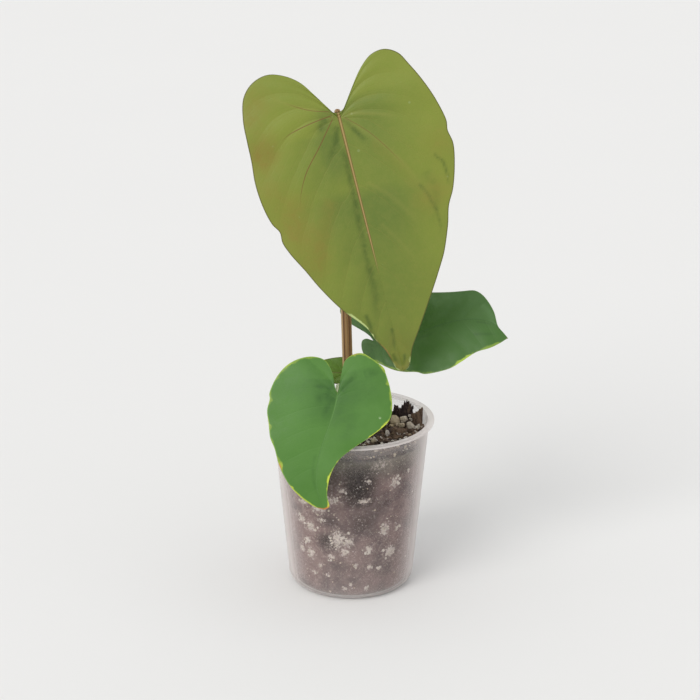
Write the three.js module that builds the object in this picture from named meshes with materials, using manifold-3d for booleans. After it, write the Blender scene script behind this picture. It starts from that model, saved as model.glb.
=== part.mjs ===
// Potted anthurium: three heart-shaped leaves and a small one in a frosted plastic pot.
// Millimetres, +Z up, origin at the centre of the pot's base, front of the plant towards -Y.
import * as THREE from 'three';
import { mergeVertices } from 'three/addons/utils/BufferGeometryUtils.js';
import { ConvexGeometry } from 'three/addons/geometries/ConvexGeometry.js';
import Module from 'manifold-3d';

const wasm = await Module();
wasm.setup();

// Pot
const RIM_R = 50;
const POT_HEIGHT = 104;
const RIM_THICK = 1.6;
const RIM_ROUND = 0.5;
const WALL_TOP_R = 47.1;
const WALL_BASE_R = 37.3;
const WALL_THICK = 1.1;
const CORNER_R = 7;
const BASE_THICK = 1.3;
const POT_SIDES = 56;
const DRAIN_HOLES = 6;
const DRAIN_R = 3;
const DRAIN_RING_R = 21;

// Gap left between two pieces that touch on the real plant
const GAP = 0.3;

// Potting mix
const MIX_TOP = 94.5;
const MIX_CLEAR = 0.4;
const MIX_SIDES = 30;
const SURFACE_WAVE = 1.1;
const WALL_DIMPLE = 1.2;
const BARK_CHIPS = 24;
const PUMICE_LUMPS = 12;
const LUMP_POINTS = 11;
const CROWN_KEEP_OUT = 13;
const SEED = 17;
const GOLDEN_ANGLE = 2.39996;

// Crown and roots
const CROWN_R = 9.4;
const CROWN_TOP = 99;
const CROWN_FOOT = 66;
const ROOT_R = 2.2;
const ROOT_TIP_R = 1.0;
const ROOT_SIDES = 6;

// Blades
const BLADE_EDGE = 0.7;
const BLADE_MIDDLE = 0.9;
const VEIN_FIELD_ROWS = 3;
const LOBE_SHARE = 0.4;

// Small seeded random generator, so that every build is the same
function seededRandom(seed) {
  let state = seed;
  return () => {
    state = (state * 1664525 + 1013904223) % 4294967296;
    return state / 4294967296;
  };
}

function toSolid(geometry) {
  const bare = geometry.clone();
  bare.deleteAttribute('normal');
  bare.deleteAttribute('uv');
  const merged = mergeVertices(bare, 1e-4);
  return new wasm.Manifold(new wasm.Mesh({
    numProp: 3,
    vertProperties: new Float32Array(merged.attributes.position.array),
    triVerts: new Uint32Array(merged.index.array),
  }));
}

function toGeometry(solid) {
  const mesh = solid.getMesh();
  const geometry = new THREE.BufferGeometry();
  geometry.setAttribute('position', new THREE.Float32BufferAttribute(mesh.vertProperties, 3));
  geometry.setIndex(new THREE.Uint32BufferAttribute(mesh.triVerts, 1));
  geometry.computeVertexNormals();
  return geometry;
}

// A lathe profile is given as [radius, height] pairs from the bottom of the axis outwards
function lathe(profile, sides) {
  const points = profile.map(([r, z]) => new THREE.Vector2(r, z));
  return new THREE.LatheGeometry(points, sides).rotateX(Math.PI / 2);
}

function arcPoints(cx, cz, radius, from, to, steps) {
  const points = [];
  for (let i = 0; i <= steps; i += 1) {
    const angle = from + ((to - from) * i) / steps;
    points.push([cx + radius * Math.cos(angle), cz + radius * Math.sin(angle)]);
  }
  return points;
}

// Radius of the wall's outer face at a height
function wallRadius(z) {
  return WALL_BASE_R + ((WALL_TOP_R - WALL_BASE_R) * z) / POT_HEIGHT;
}

function buildPot() {
  const rimUnder = POT_HEIGHT - RIM_THICK;
  const cornerX = wallRadius(CORNER_R) - CORNER_R;
  const innerCorner = CORNER_R - WALL_THICK;
  const profile = [
    [0, 0],
    ...arcPoints(cornerX, CORNER_R, CORNER_R, -Math.PI / 2, 0, 4),
    [wallRadius(rimUnder), rimUnder],
    [RIM_R - RIM_ROUND, rimUnder],
    [RIM_R, rimUnder + RIM_ROUND],
    [RIM_R, POT_HEIGHT - RIM_ROUND],
    [RIM_R - RIM_ROUND, POT_HEIGHT],
    [wallRadius(POT_HEIGHT) - WALL_THICK + RIM_ROUND, POT_HEIGHT],
    [wallRadius(POT_HEIGHT) - WALL_THICK, POT_HEIGHT - RIM_ROUND],
    ...arcPoints(cornerX, BASE_THICK + innerCorner, innerCorner, 0, -Math.PI / 2, 3),
    [0, BASE_THICK],
  ];
  let pot = toSolid(lathe(profile, POT_SIDES));
  for (let i = 0; i < DRAIN_HOLES; i += 1) {
    const angle = ((i + 0.5) * Math.PI * 2) / DRAIN_HOLES;
    const hole = new THREE.CylinderGeometry(DRAIN_R, DRAIN_R, BASE_THICK * 4, 12);
    hole.rotateX(Math.PI / 2);
    hole.translate(DRAIN_RING_R * Math.cos(angle), DRAIN_RING_R * Math.sin(angle), 0);
    pot = pot.subtract(toSolid(hole));
  }
  return pot;
}

// Tapered tube along a smooth curve; radiusAt takes 0 at the start and 1 at the end
function sweep(path, radiusAt, sides, steps) {
  const points = path.map((p) => new THREE.Vector3(...p));
  const curve = new THREE.CatmullRomCurve3(points, false, 'centripetal');
  const frames = curve.computeFrenetFrames(steps, false);
  const position = [];
  const index = [];
  for (let i = 0; i <= steps; i += 1) {
    const t = i / steps;
    const centre = curve.getPointAt(t);
    for (let j = 0; j < sides; j += 1) {
      const angle = (j * Math.PI * 2) / sides;
      const r = radiusAt(t);
      const ring = centre.clone();
      ring.addScaledVector(frames.normals[i], r * Math.cos(angle));
      ring.addScaledVector(frames.binormals[i], r * Math.sin(angle));
      position.push(ring.x, ring.y, ring.z);
    }
  }
  for (let i = 0; i < steps; i += 1) {
    for (let j = 0; j < sides; j += 1) {
      const a = i * sides + j;
      const b = i * sides + ((j + 1) % sides);
      index.push(a, b, b + sides, a, b + sides, a + sides);
    }
  }
  const caps = [[0, curve.getPointAt(0)], [steps, curve.getPointAt(1)]];
  caps.forEach(([row, centre]) => {
    const hub = position.length / 3;
    position.push(centre.x, centre.y, centre.z);
    for (let j = 0; j < sides; j += 1) {
      const a = row * sides + j;
      const b = row * sides + ((j + 1) % sides);
      index.push(...(row === 0 ? [hub, b, a] : [hub, a, b]));
    }
  });
  const geometry = new THREE.BufferGeometry();
  geometry.setAttribute('position', new THREE.Float32BufferAttribute(position, 3));
  geometry.setIndex(index);
  return toSolid(geometry);
}

// Crown: a short knobbly stem with old leaf scars as rings; grow makes its clearance hole
function crown(grow) {
  const rows = [
    [0, CROWN_FOOT - grow],
    [4.5 + grow, CROWN_FOOT - grow],
    [6.5 + grow, CROWN_FOOT + 6],
    [5.9 + grow, CROWN_FOOT + 9],
    [8.0 + grow, CROWN_FOOT + 14],
    [7.2 + grow, CROWN_FOOT + 17],
    [CROWN_R - 0.4 + grow, CROWN_FOOT + 22],
    [CROWN_R - 1.0 + grow, CROWN_FOOT + 25],
    [CROWN_R + grow, CROWN_TOP - 4],
    [CROWN_R - 2.4 + grow, CROWN_TOP - 1 + grow * 0.7],
    [0, CROWN_TOP + grow],
  ];
  return toSolid(lathe(rows, 20));
}

// Thick anchoring roots, each a hand-placed course from the crown out into the mix
const ROOT_COURSES = [
  [[4, -3, 80], [14, -9, 74], [24, -14, 60], [28, -17, 42]],
  [[-4, -3, 78], [-13, -8, 72], [-23, -10, 58], [-26, -16, 38]],
  [[-3, 4, 76], [-9, 13, 70], [-14, 22, 54], [-12, 28, 34]],
  [[3, 4, 79], [11, 11, 71], [20, 17, 58], [25, 20, 44]],
  [[0, 0, 70], [1, -3, 56], [-2, -2, 40], [2, 3, 22]],
];

function buildRoots(grow) {
  let roots = null;
  ROOT_COURSES.forEach((course) => {
    const taper = (t) => ROOT_R + (ROOT_TIP_R - ROOT_R) * t + grow;
    const end = course[course.length - 1];
    const reach = course.slice(0, -1).concat([[end[0], end[1], end[2] - grow]]);
    const root = sweep(reach, taper, ROOT_SIDES, 7);
    roots = roots ? roots.add(root) : root;
  });
  return roots;
}

function buildStem(grow = 0) {
  return crown(grow).add(buildRoots(grow));
}

// One bark chip: a slab with a bevelled, uneven outline, long side along its own Z
function barkChip(length, width, thick, random) {
  const points = [];
  for (let k = 0; k < 2; k += 1) {
    const y = (k - 0.5) * thick;
    const lean = (random() - 0.5) * width * 0.3;
    points.push(new THREE.Vector3(-width * 0.5, y, -length * 0.5));
    points.push(new THREE.Vector3(width * 0.5, y * 0.8, -length * 0.5));
    points.push(new THREE.Vector3(width * 0.42, y, length * (0.18 + random() * 0.2)));
    points.push(new THREE.Vector3(lean, y * 0.6, length * 0.5));
    points.push(new THREE.Vector3(-width * 0.45, y, length * (0.1 + random() * 0.2)));
  }
  return new ConvexGeometry(points);
}

// One pumice lump: a rounded, slightly flattened pebble with few sides
function pumiceLump(radius, random) {
  const points = [];
  for (let k = 0; k < LUMP_POINTS; k += 1) {
    const height = 1 - (2 * (k + 0.5)) / LUMP_POINTS;
    const angle = k * GOLDEN_ANGLE;
    const ring = Math.sqrt(1 - height * height);
    const r = radius * (0.85 + 0.3 * random());
    points.push(new THREE.Vector3(r * ring * Math.cos(angle), r * ring * Math.sin(angle), r * height * 0.8));
  }
  return new ConvexGeometry(points);
}

function placed(geometry, x, y, z, turn, tilt, lean) {
  const euler = new THREE.Euler(tilt, lean, turn, 'ZXY');
  geometry.applyMatrix4(new THREE.Matrix4().makeRotationFromEuler(euler));
  geometry.translate(x, y, z);
  return toSolid(geometry);
}

// Big upright pieces that the photograph shows behind the front leaf: x, y, z, length, width, turn, tilt
const UPRIGHT_CHIPS = [
  [34, 21, 98, 19, 9, 0.5, -0.15],
  [40, 10, 97.5, 15, 7.5, 0.15, -0.4],
  [28, 24, 96, 14, 6, 0.1, 0.25],
  [42, 5, 93, 11, 6, 1.4, -0.2],
  [31, -4, 93, 11, 7, 2.2, 0.6],
  [23, -10, 93, 9, 7, 2.6, 0.7],
];
const BIG_LUMPS = [
  [32, 10, 97, 3.2],
  [36, 2, 96, 4.0],
  [26, 16, 97, 3.0],
  [29, 3, 95.5, 2.6],
  [13, -19, 95, 2.4],
  [22, -22, 95, 2.6],
];

// Plug of mix with an uneven top and dimpled sides
function mixPlug() {
  const cornerX = wallRadius(CORNER_R) - CORNER_R;
  const innerCorner = CORNER_R - WALL_THICK - MIX_CLEAR;
  const floorZ = BASE_THICK + MIX_CLEAR;
  const side = [24, 42, 60, 78, MIX_TOP - 2].map((z) => [wallRadius(z) - WALL_THICK - MIX_CLEAR, z]);
  const top = [41, 32, 22, 12].map((r) => [r, MIX_TOP]);
  const profile = [
    [0, floorZ],
    [14, floorZ],
    ...arcPoints(cornerX, floorZ + innerCorner, innerCorner, -Math.PI / 2, 0, 3),
    ...side,
    ...top,
    [0, MIX_TOP],
  ];
  const geometry = lathe(profile, MIX_SIDES);
  const position = geometry.attributes.position;
  for (let i = 0; i < position.count; i += 1) {
    const x = position.getX(i);
    const y = position.getY(i);
    const z = position.getZ(i);
    const r = Math.hypot(x, y);
    if (z > MIX_TOP - 1 && r > 1) {
      const swell = Math.sin(x * 0.31) * Math.cos(y * 0.27) + 0.6 * Math.sin(x * 0.13 + y * 0.4);
      position.setZ(i, z + SURFACE_WAVE * swell);
    } else if (z > 10 && z < MIX_TOP - 1) {
      const dip = 0.5 + 0.5 * Math.sin(x * 0.43 + z * 0.19) * Math.cos(y * 0.39 - z * 0.23);
      const scale = 1 - (WALL_DIMPLE * dip) / r;
      position.setX(i, x * scale);
      position.setY(i, y * scale);
    }
  }
  return toSolid(geometry);
}

// Space inside the pot, carried up past the rim, that all of the mix stays in
function insidePot() {
  const floorZ = BASE_THICK + MIX_CLEAR;
  const cornerX = wallRadius(CORNER_R) - CORNER_R;
  const innerCorner = CORNER_R - WALL_THICK - MIX_CLEAR;
  const profile = [
    [0, floorZ],
    ...arcPoints(cornerX, floorZ + innerCorner, innerCorner, -Math.PI / 2, 0, 3),
    [wallRadius(POT_HEIGHT) - WALL_THICK - MIX_CLEAR * 1.5, POT_HEIGHT - 1],
    [wallRadius(POT_HEIGHT) - WALL_THICK - MIX_CLEAR * 1.5, POT_HEIGHT + 20],
    [0, POT_HEIGHT + 20],
  ];
  return toSolid(lathe(profile, POT_SIDES));
}

function buildMix() {
  const random = seededRandom(SEED);
  const pieces = [];
  UPRIGHT_CHIPS.forEach(([x, y, z, length, width, turn, tilt]) => {
    pieces.push(placed(barkChip(length, width, 3.4, random), x, y, z, turn, tilt, 0));
  });
  BIG_LUMPS.forEach(([x, y, z, radius]) => {
    pieces.push(placed(pumiceLump(radius, random), x, y, z, random() * 6, 0, 0));
  });
  for (let i = 0; i < BARK_CHIPS + PUMICE_LUMPS; i += 1) {
    const reach = Math.sqrt(random()) * 30 + CROWN_KEEP_OUT;
    const angle = i * GOLDEN_ANGLE + random() * 0.6;
    const x = reach * Math.cos(angle);
    const y = reach * Math.sin(angle);
    const turn = random() * Math.PI;
    if (i < BARK_CHIPS) {
      const length = 8 + 6 * random();
      const tilt = 1.2 + 0.5 * random();
      const chip = barkChip(length, length * 0.6, 3 + random(), random);
      pieces.push(placed(chip, x, y, MIX_TOP + 0.2, turn, tilt, 0.3 * random()));
    } else {
      const lump = pumiceLump(1.7 + 1.5 * random(), random);
      pieces.push(placed(lump, x, y, MIX_TOP + 0.7, turn, 0, 0));
    }
  }
  const loose = wasm.Manifold.union(pieces).intersect(insidePot());
  const heap = mixPlug().add(loose).subtract(buildStem(GAP));
  return heap.decompose().sort((a, b) => b.volume() - a.volume())[0];
}

// Blades. Each leaf has its own axes: u along the midrib from the sinus to the tip, v across it.
// The half outlines run from the sinus round the lobe to the tip, in millimetres.
const LEAVES = [
  {
    name: 'tall',
    sinus: [-7.5, -6, 292.3],
    along: [0.248, -0.26, -0.93],
    face: [0, -0.93, 0.3],
    bend: 0.0022,
    bendFrom: 130,
    tipBend: 0.012,
    lobeBend: 0.004,
    cross: 0.003,
    fold: 0.1,
    foldWidth: 5,
    bow: 0,
    length: 160,
    quilt: 0.9,
    wave: 0.8,
    waves: 7,
    rib: 1.1,
    fan: 4,
    rows: 33,
    columns: 6,
    right: [
      [0, 0], [-0.5, 2.6], [-5.6, 7.7], [-14, 13], [-22.2, 19.9], [-27, 26.4], [-28.1, 34.3], [-24.3, 41.5],
      [-16.7, 46], [-4.8, 51.7], [7.4, 56.2], [20, 58.9], [25.4, 58.2], [33, 59.5], [45.7, 57.4],
      [58.2, 53.3], [67, 48.6], [78, 45.5], [92, 40], [101, 35], [113.5, 27.8], [133.5, 15.4], [145, 8.7],
      [152.5, 6], [158, 3.6], [160, 0],
    ],
    left: [
      [0, 0], [-0.5, -2.7], [-3.3, -4.9], [-11.3, -9.9], [-21.4, -16.7], [-27.6, -25], [-30.3, -34.3],
      [-27.5, -43.8], [-21, -50.2], [-9, -53.6], [4.7, -54.5], [15, -54.9], [28, -56], [42, -55],
      [52.8, -52.4], [58.2, -49.4], [64.2, -49.4], [71, -47], [83, -41], [95, -35.4], [112.4, -25],
      [120.5, -18.5], [127, -14], [133.8, -11.5], [141.4, -7.6], [146.8, -6], [152.2, -4.8], [157.5, -3.2],
      [160, 0],
    ],
    green: 0x75823f,
    petiole: {
      path: [
        [0, 0, 95.5], [-0.8, 0, 114], [-2, 0, 140], [-2.7, 0.3, 164], [-4.5, 1.6, 215], [-6.5, 2.4, 262],
        [-7.5, 1.3, 284], [-7.8, -2.3, 291.9],
      ],
      base: 3.6,
      middle: 3.2,
      end: 2.4,
      knuckle: 2.7,
      steps: 22,
      colour: 0x70583a,
    },
  },
  {
    name: 'side',
    sinus: [19.2, 14, 143.8],
    along: [0.957, -0.22, 0.19],
    face: [-0.1, -0.8, 0.6],
    bend: 0.003,
    bendFrom: 50,
    tipBend: 0.008,
    lobeBend: 0.004,
    cross: 0.006,
    fold: 0.1,
    foldWidth: 4,
    bow: 6,
    length: 76,
    quilt: 0.8,
    wave: 0.7,
    waves: 5,
    rib: 0.8,
    fan: 3,
    rows: 27,
    columns: 5,
    right: [
      [0, 0], [-5.7, 4.4], [-8, 7.7], [-13.3, 12.4], [-19.1, 16.4], [-24.5, 21], [-26.9, 27], [-24.3, 31.9],
      [-19, 34.6], [-9, 35.6], [11.4, 33], [32.1, 27.4], [42, 25.8], [50, 25.3], [57, 25.3], [60.6, 23.7],
      [64, 20.4], [68, 13.8], [70.5, 4.1], [75.5, 0],
    ],
    left: [
      [0, 0], [-4.9, 3.1], [-8, 5.5], [-10.5, 6.5], [-13, 5.6], [-13.6, 2.5], [-12.4, -1.5], [-8.9, -5.3],
      [-2, -9.3], [5.4, -14.4], [13.3, -18.4], [21, -20.7], [24.7, -22.6], [30, -23.2], [41, -23],
      [47, -20.2], [56, -14.4], [64, -11], [70, -6.2], [75.5, 0],
    ],
    green: 0x3f5e2d,
    petiole: {
      path: [
        [5.2, 3.6, 95.5], [6.3, 5, 103], [9.5, 9.5, 115], [13.5, 15, 130], [17.5, 18.2, 138.5],
        [19, 15.7, 142.7],
      ],
      base: 2.3,
      middle: 1.9,
      end: 1.7,
      knuckle: 2.0,
      steps: 14,
      colour: 0x6b6a3c,
    },
  },
  {
    name: 'front',
    sinus: [-7.8, -38, 133.9],
    along: [-0.11, -0.5, -0.86],
    face: [0, -0.86, 0.5],
    bend: 0.002,
    bendFrom: 45,
    tipBend: 0.012,
    lobeBend: 0.006,
    cross: 0.006,
    fold: 0.08,
    foldWidth: 4,
    bow: -7,
    length: 68,
    quilt: 0.8,
    wave: 0.6,
    waves: 5,
    rib: 0.8,
    fan: 3,
    rows: 27,
    columns: 5,
    right: [
      [0, 0], [-5, 0.9], [-15, 1.2], [-20, 2.3], [-24.2, 6.9], [-25.2, 12], [-23.4, 16.4], [-17.8, 25.4],
      [-15, 26.6], [-6.4, 30.1], [2.8, 32.4], [9.8, 33.3], [14, 32.4], [21.7, 26.9], [31.2, 17.8],
      [37.4, 12.6], [44.7, 9.3], [53, 7], [60.5, 5], [66, 4], [68, 0],
    ],
    left: [
      [0, 0], [-2.7, -1.8], [-12, -4.6], [-18.6, -9.4], [-20.2, -16], [-18.6, -23], [-14, -30.5],
      [-7.6, -35.6], [0, -38.6], [4.7, -39.3], [7.5, -38.4], [14.2, -38], [22.3, -34.4], [30.3, -30.7],
      [36.4, -26.3], [44.2, -22.6], [51.8, -18.7], [58.6, -14.5], [64.2, -9.4], [67.5, -4.5], [68, 0],
    ],
    green: 0x5d8a4b,
    petiole: {
      path: [
        [-3.4, -5.2, 95.5], [-3.9, -7.2, 103], [-5, -13, 118.5], [-6.4, -22.5, 131.2], [-7.3, -29.3, 134.6],
        [-7.7, -35.5, 133.3],
      ],
      base: 2.3,
      middle: 1.9,
      end: 1.7,
      knuckle: 2.0,
      steps: 14,
      colour: 0x7f8c55,
    },
  },
  {
    name: 'small',
    sinus: [3, 10, 128.5],
    along: [-0.97, -0.12, 0.08],
    face: [0, -0.85, 0.5],
    bend: 0.004,
    bendFrom: 18,
    tipBend: 0.01,
    lobeBend: 0.004,
    cross: 0.006,
    fold: 0.12,
    foldWidth: 3,
    bow: 0,
    length: 34,
    quilt: 0.4,
    wave: 0.4,
    waves: 3,
    rib: 0.5,
    fan: 2,
    rows: 18,
    columns: 4,
    right: [
      [0, 0], [-3, 1.6], [-5, 4], [-3, 6.8], [4, 7.6], [12, 7], [20, 5.6], [28, 2.8], [34, 0],
    ],
    left: [
      [0, 0], [-3, -1.8], [-5.2, -5], [-2.5, -8.8], [4, -9.8], [13, -9.3], [21, -7.4], [28.5, -3.6], [34, 0],
    ],
    green: 0x4c5a2a,
    petiole: {
      path: [[0.8, 6.2, 95.5], [1.5, 7.4, 103], [3, 11, 114], [4, 13.2, 122], [3.8, 11.7, 127.5]],
      base: 2.0,
      middle: 1.5,
      end: 1.4,
      knuckle: 1.6,
      steps: 10,
      colour: 0x6f7a40,
    },
  },
];

function leafAxes(leaf) {
  const along = new THREE.Vector3(...leaf.along).normalize();
  const face = new THREE.Vector3(...leaf.face);
  face.addScaledVector(along, -face.dot(along)).normalize();
  return { along, face, across: new THREE.Vector3().crossVectors(face, along) };
}

// Sideways bow of the midrib at u
function midribBow(leaf, u) {
  const x = u / leaf.length;
  return x > 0 && x < 1 ? leaf.bow * 6.75 * x * x * (1 - x) : 0;
}

// Point on a circular arc that starts in direction heading and turns by turn per millimetre
function arcStep(u, turn, heading) {
  const end = heading + turn * u;
  return [(Math.sin(end) - Math.sin(heading)) / turn, (Math.cos(end) - Math.cos(heading)) / turn, end];
}

// Middle surface of a blade: arched along the midrib, folded and domed across it
function bladePoint(leaf, axes, u, v, lift) {
  let reach;
  let drop;
  let heading;
  if (u <= leaf.bendFrom) {
    [reach, drop, heading] = arcStep(u, u < 0 ? leaf.lobeBend : leaf.bend, 0);
  } else {
    const first = arcStep(leaf.bendFrom, leaf.bend, 0);
    const second = arcStep(u - leaf.bendFrom, leaf.tipBend, first[2]);
    reach = first[0] + second[0];
    drop = first[1] + second[1];
    heading = second[2];
  }
  const crease = leaf.fold * (Math.hypot(v, leaf.foldWidth) - leaf.foldWidth);
  const dome = (1 - Math.cos(leaf.cross * v)) / leaf.cross;
  const height = crease - dome + lift;
  const point = new THREE.Vector3(...leaf.sinus);
  point.addScaledVector(axes.along, reach + height * Math.sin(heading));
  point.addScaledVector(axes.across, v + midribBow(leaf, u));
  point.addScaledVector(axes.face, drop + height * Math.cos(heading));
  return point;
}

// Where a row of the blade leaves the midrib: all the basal rows fan out from one point
function rowStart(leaf, s) {
  const share = Math.max(0, (s - LOBE_SHARE) / (1 - LOBE_SHARE));
  return leaf.fan + (leaf.length - leaf.fan) * share;
}

function buildBlade(leaf) {
  const axes = leafAxes(leaf);
  const position = [];
  const index = [];
  const seen = new Map();
  const addPair = (u, v, s, t) => {
    const key = `${Math.round(u * 1e4)} ${Math.round(v * 1e4)}`;
    if (!seen.has(key)) {
      const fields = leaf.rows / VEIN_FIELD_ROWS;
      const bulge = leaf.quilt * Math.abs(Math.sin(Math.PI * fields * s)) * Math.sin(Math.PI * t);
      const ripple = leaf.wave * t * t * Math.sin(2 * Math.PI * leaf.waves * s + Math.sign(v));
      const lift = bulge + ripple * Math.sin(Math.PI * s);
      const rib = leaf.rib * Math.max(0, 1 - Math.abs(v) / 1.5) * (1 - Math.max(0, u) / leaf.length);
      const half = (BLADE_MIDDLE + (BLADE_EDGE - BLADE_MIDDLE) * t) / 2;
      const front = bladePoint(leaf, axes, u, v, lift + half);
      const back = bladePoint(leaf, axes, u, v, lift - half - rib);
      seen.set(key, position.length / 3);
      position.push(front.x, front.y, front.z, back.x, back.y, back.z);
    }
    return seen.get(key);
  };
  const addTriangle = (a, b, c) => {
    if (a !== b && b !== c && c !== a) {
      index.push(c, b, a, a + 1, b + 1, c + 1);
    }
  };
  [leaf.right, leaf.left].forEach((outline, side) => {
    const points = outline.map(([u, v]) => new THREE.Vector3(u, v, 0));
    const curve = new THREE.CatmullRomCurve3(points, false, 'centripetal');
    const grid = [];
    for (let i = 0; i <= leaf.rows; i += 1) {
      const s = i / leaf.rows;
      const edge = curve.getPointAt(s);
      const start = rowStart(leaf, s);
      const row = [];
      for (let j = 0; j <= leaf.columns; j += 1) {
        const t = j / leaf.columns;
        row.push(addPair(start + (edge.x - start) * t, edge.y * t, s, t));
      }
      grid.push(row);
    }
    const turn = side === 0 ? [0, 1, 2] : [0, 2, 1];
    for (let i = 0; i < leaf.rows; i += 1) {
      for (let j = 0; j < leaf.columns; j += 1) {
        const first = [grid[i][j], grid[i][j + 1], grid[i + 1][j + 1]];
        const second = [grid[i][j], grid[i + 1][j + 1], grid[i + 1][j]];
        addTriangle(...turn.map((k) => first[k]));
        addTriangle(...turn.map((k) => second[k]));
      }
      const a = grid[i][leaf.columns];
      const b = grid[i + 1][leaf.columns];
      index.push(...(side === 0 ? [a, b + 1, a + 1, a, b, b + 1] : [a, a + 1, b + 1, a, b + 1, b]));
    }
  });
  const geometry = new THREE.BufferGeometry();
  geometry.setAttribute('position', new THREE.Float32BufferAttribute(position, 3));
  geometry.setIndex(index);
  return toSolid(geometry);
}

function buildPetiole(leaf, grownCrown) {
  const stalk = leaf.petiole;
  const radiusAt = (t) => {
    const body = stalk.base + (stalk.middle - stalk.base) * Math.min(1, t / 0.2);
    const neck = body + (stalk.end - stalk.middle) * Math.max(0, (t - 0.4) / 0.6);
    const swell = (stalk.knuckle - stalk.end) * Math.max(0, 1 - Math.abs(t - 0.965) / 0.05);
    return neck + swell;
  };
  return sweep(stalk.path, radiusAt, 10, stalk.steps).subtract(grownCrown);
}

function addMesh(group, name, solid, colour, roughness, extra = {}) {
  const material = new THREE.MeshStandardMaterial({ color: colour, roughness, metalness: 0, ...extra });
  const mesh = new THREE.Mesh(toGeometry(solid), material);
  mesh.name = name;
  group.add(mesh);
}

const plant = new THREE.Group();
addMesh(plant, 'pot', buildPot(), 0xcfccc6, 0.45, { transparent: true, opacity: 0.5 });
addMesh(plant, 'potting_mix', buildMix(), 0x40352d, 0.95);
addMesh(plant, 'stem_with_roots', buildStem(), 0x6d6340, 0.7);
const grownCrown = crown(GAP);
LEAVES.forEach((leaf) => {
  addMesh(plant, `${leaf.name}_petiole`, buildPetiole(leaf, grownCrown), leaf.petiole.colour, 0.55);
  addMesh(plant, `${leaf.name}_blade`, buildBlade(leaf), leaf.green, 0.45);
});

export default plant;
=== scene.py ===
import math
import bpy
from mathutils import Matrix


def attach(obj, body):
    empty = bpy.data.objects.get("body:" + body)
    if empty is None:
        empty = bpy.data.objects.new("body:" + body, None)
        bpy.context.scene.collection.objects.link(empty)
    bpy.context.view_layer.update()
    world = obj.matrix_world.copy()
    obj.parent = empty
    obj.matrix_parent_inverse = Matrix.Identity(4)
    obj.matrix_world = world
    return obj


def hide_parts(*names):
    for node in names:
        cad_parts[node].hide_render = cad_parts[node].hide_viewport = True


bl_info = {
    "name": "Potted Anthurium",
    "version": (1, 0, 0),
    "blender": (4, 5, 0),
    "location": "3D View > Sidebar > Plant",
    "description": "Builds a young heart-leaved house plant in a frosted pot on its CAD frame",
    "category": "Add Mesh",
}

import bmesh
import bpy
import numpy as np
from mathutils import Euler

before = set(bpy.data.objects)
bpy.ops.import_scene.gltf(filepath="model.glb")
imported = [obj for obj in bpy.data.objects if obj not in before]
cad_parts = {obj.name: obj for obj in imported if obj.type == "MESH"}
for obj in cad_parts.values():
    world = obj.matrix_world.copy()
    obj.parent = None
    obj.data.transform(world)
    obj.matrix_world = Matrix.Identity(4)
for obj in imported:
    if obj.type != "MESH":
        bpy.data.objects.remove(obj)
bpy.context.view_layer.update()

MM = 0.001
BODY = "root"
SEED = 17

# Sizes shared with the CAD model, in millimetres
MIX_TOP = 94.5
SURFACE_WAVE = 1.1
BASE_THICK = 1.3
CROWN_R = 9.4
CROWN_TOP = 99
CROWN_FOOT = 66
DRAIN_HOLES = 6
DRAIN_RADIUS = 3.0
DRAIN_RING = 21.0
LOBE_SHARE = 0.4

# Fine blades are a little thinner than the solids they stand for
BLADE_EDGE = 0.42
BLADE_MIDDLE = 0.66
MARGIN_INSET = 0.25

# Circle of the rim that hides the surface from the camera, and how far behind it the first crumbs show
RIM_SIGHT = 46
FRONT_STRIP = (25, 30.5)

# Radius at which a turn round the wall is measured as a length
WALL_MM = 42

# Facets round the turned pieces
POT_SIDES = 160
HOLE_SIDES = 28
FILL_SIDES = 240
CROWN_SIDES = 72
ROOT_SIDES = 20
STALK_SIDES = 40

# Window light: its apparent size, its height from overhead and its turn, in degrees
SUN_SIZE = 35
SUN_TILT = 50
SUN_TURN = -38
FLOOR_HALF = 6.0
SENSOR_MM = 36

# Least clearance from the wall of what lies on the mix and of what is pressed against the wall
TOP_CLEAR = 0.35
WALL_CLEAR = 0.15

# Breadths of the raised midrib and the groove over it, and where a stalk swells below its blade
RIB_SPREAD = 1.1
GROOVE_SPREAD = 1.3
KNUCKLE_AT = 0.965
KNUCKLE_SPREAD = 0.03

# Angles in degrees above which an edge stays crisp
POT_CRISP = 60
STALK_CRISP = 60
BLADE_CRISP = 70
BARK_CRISP = 38
PUMICE_CRISP = 70

# Places of the colour sockets on a Mix node
MIX_SHARE, MIX_FIRST, MIX_SECOND, MIX_RESULT = 0, 6, 7, 2


def srgb(red, green, blue):
    """Linear colour from the 0 to 255 values that a picture shows."""
    linear = []
    for value in (red, green, blue):
        share = value / 255
        linear.append(share / 12.92 if share <= 0.04045 else ((share + 0.055) / 1.055) ** 2.4)
    return tuple(linear)


# What a leaf has unless it says otherwise
COMMON_LEAF = {
    "tip_bend": 0.012, "lobe_bend": 0.004, "cross": 0.006, "fold": 0.1, "fold_width": 4, "bow": 0,
    "waves": 5, "rib": 0.8, "fan": 3, "fields": 9, "rows": 180, "columns": 36, "lime_mm": 0.7,
    "sweep": 0.14, "rib_mm": 0.6, "vein_mm": 0.7, "rib_fade": (0.9, 1.0), "gloss": 0.35, "rust": (),
}

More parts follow.
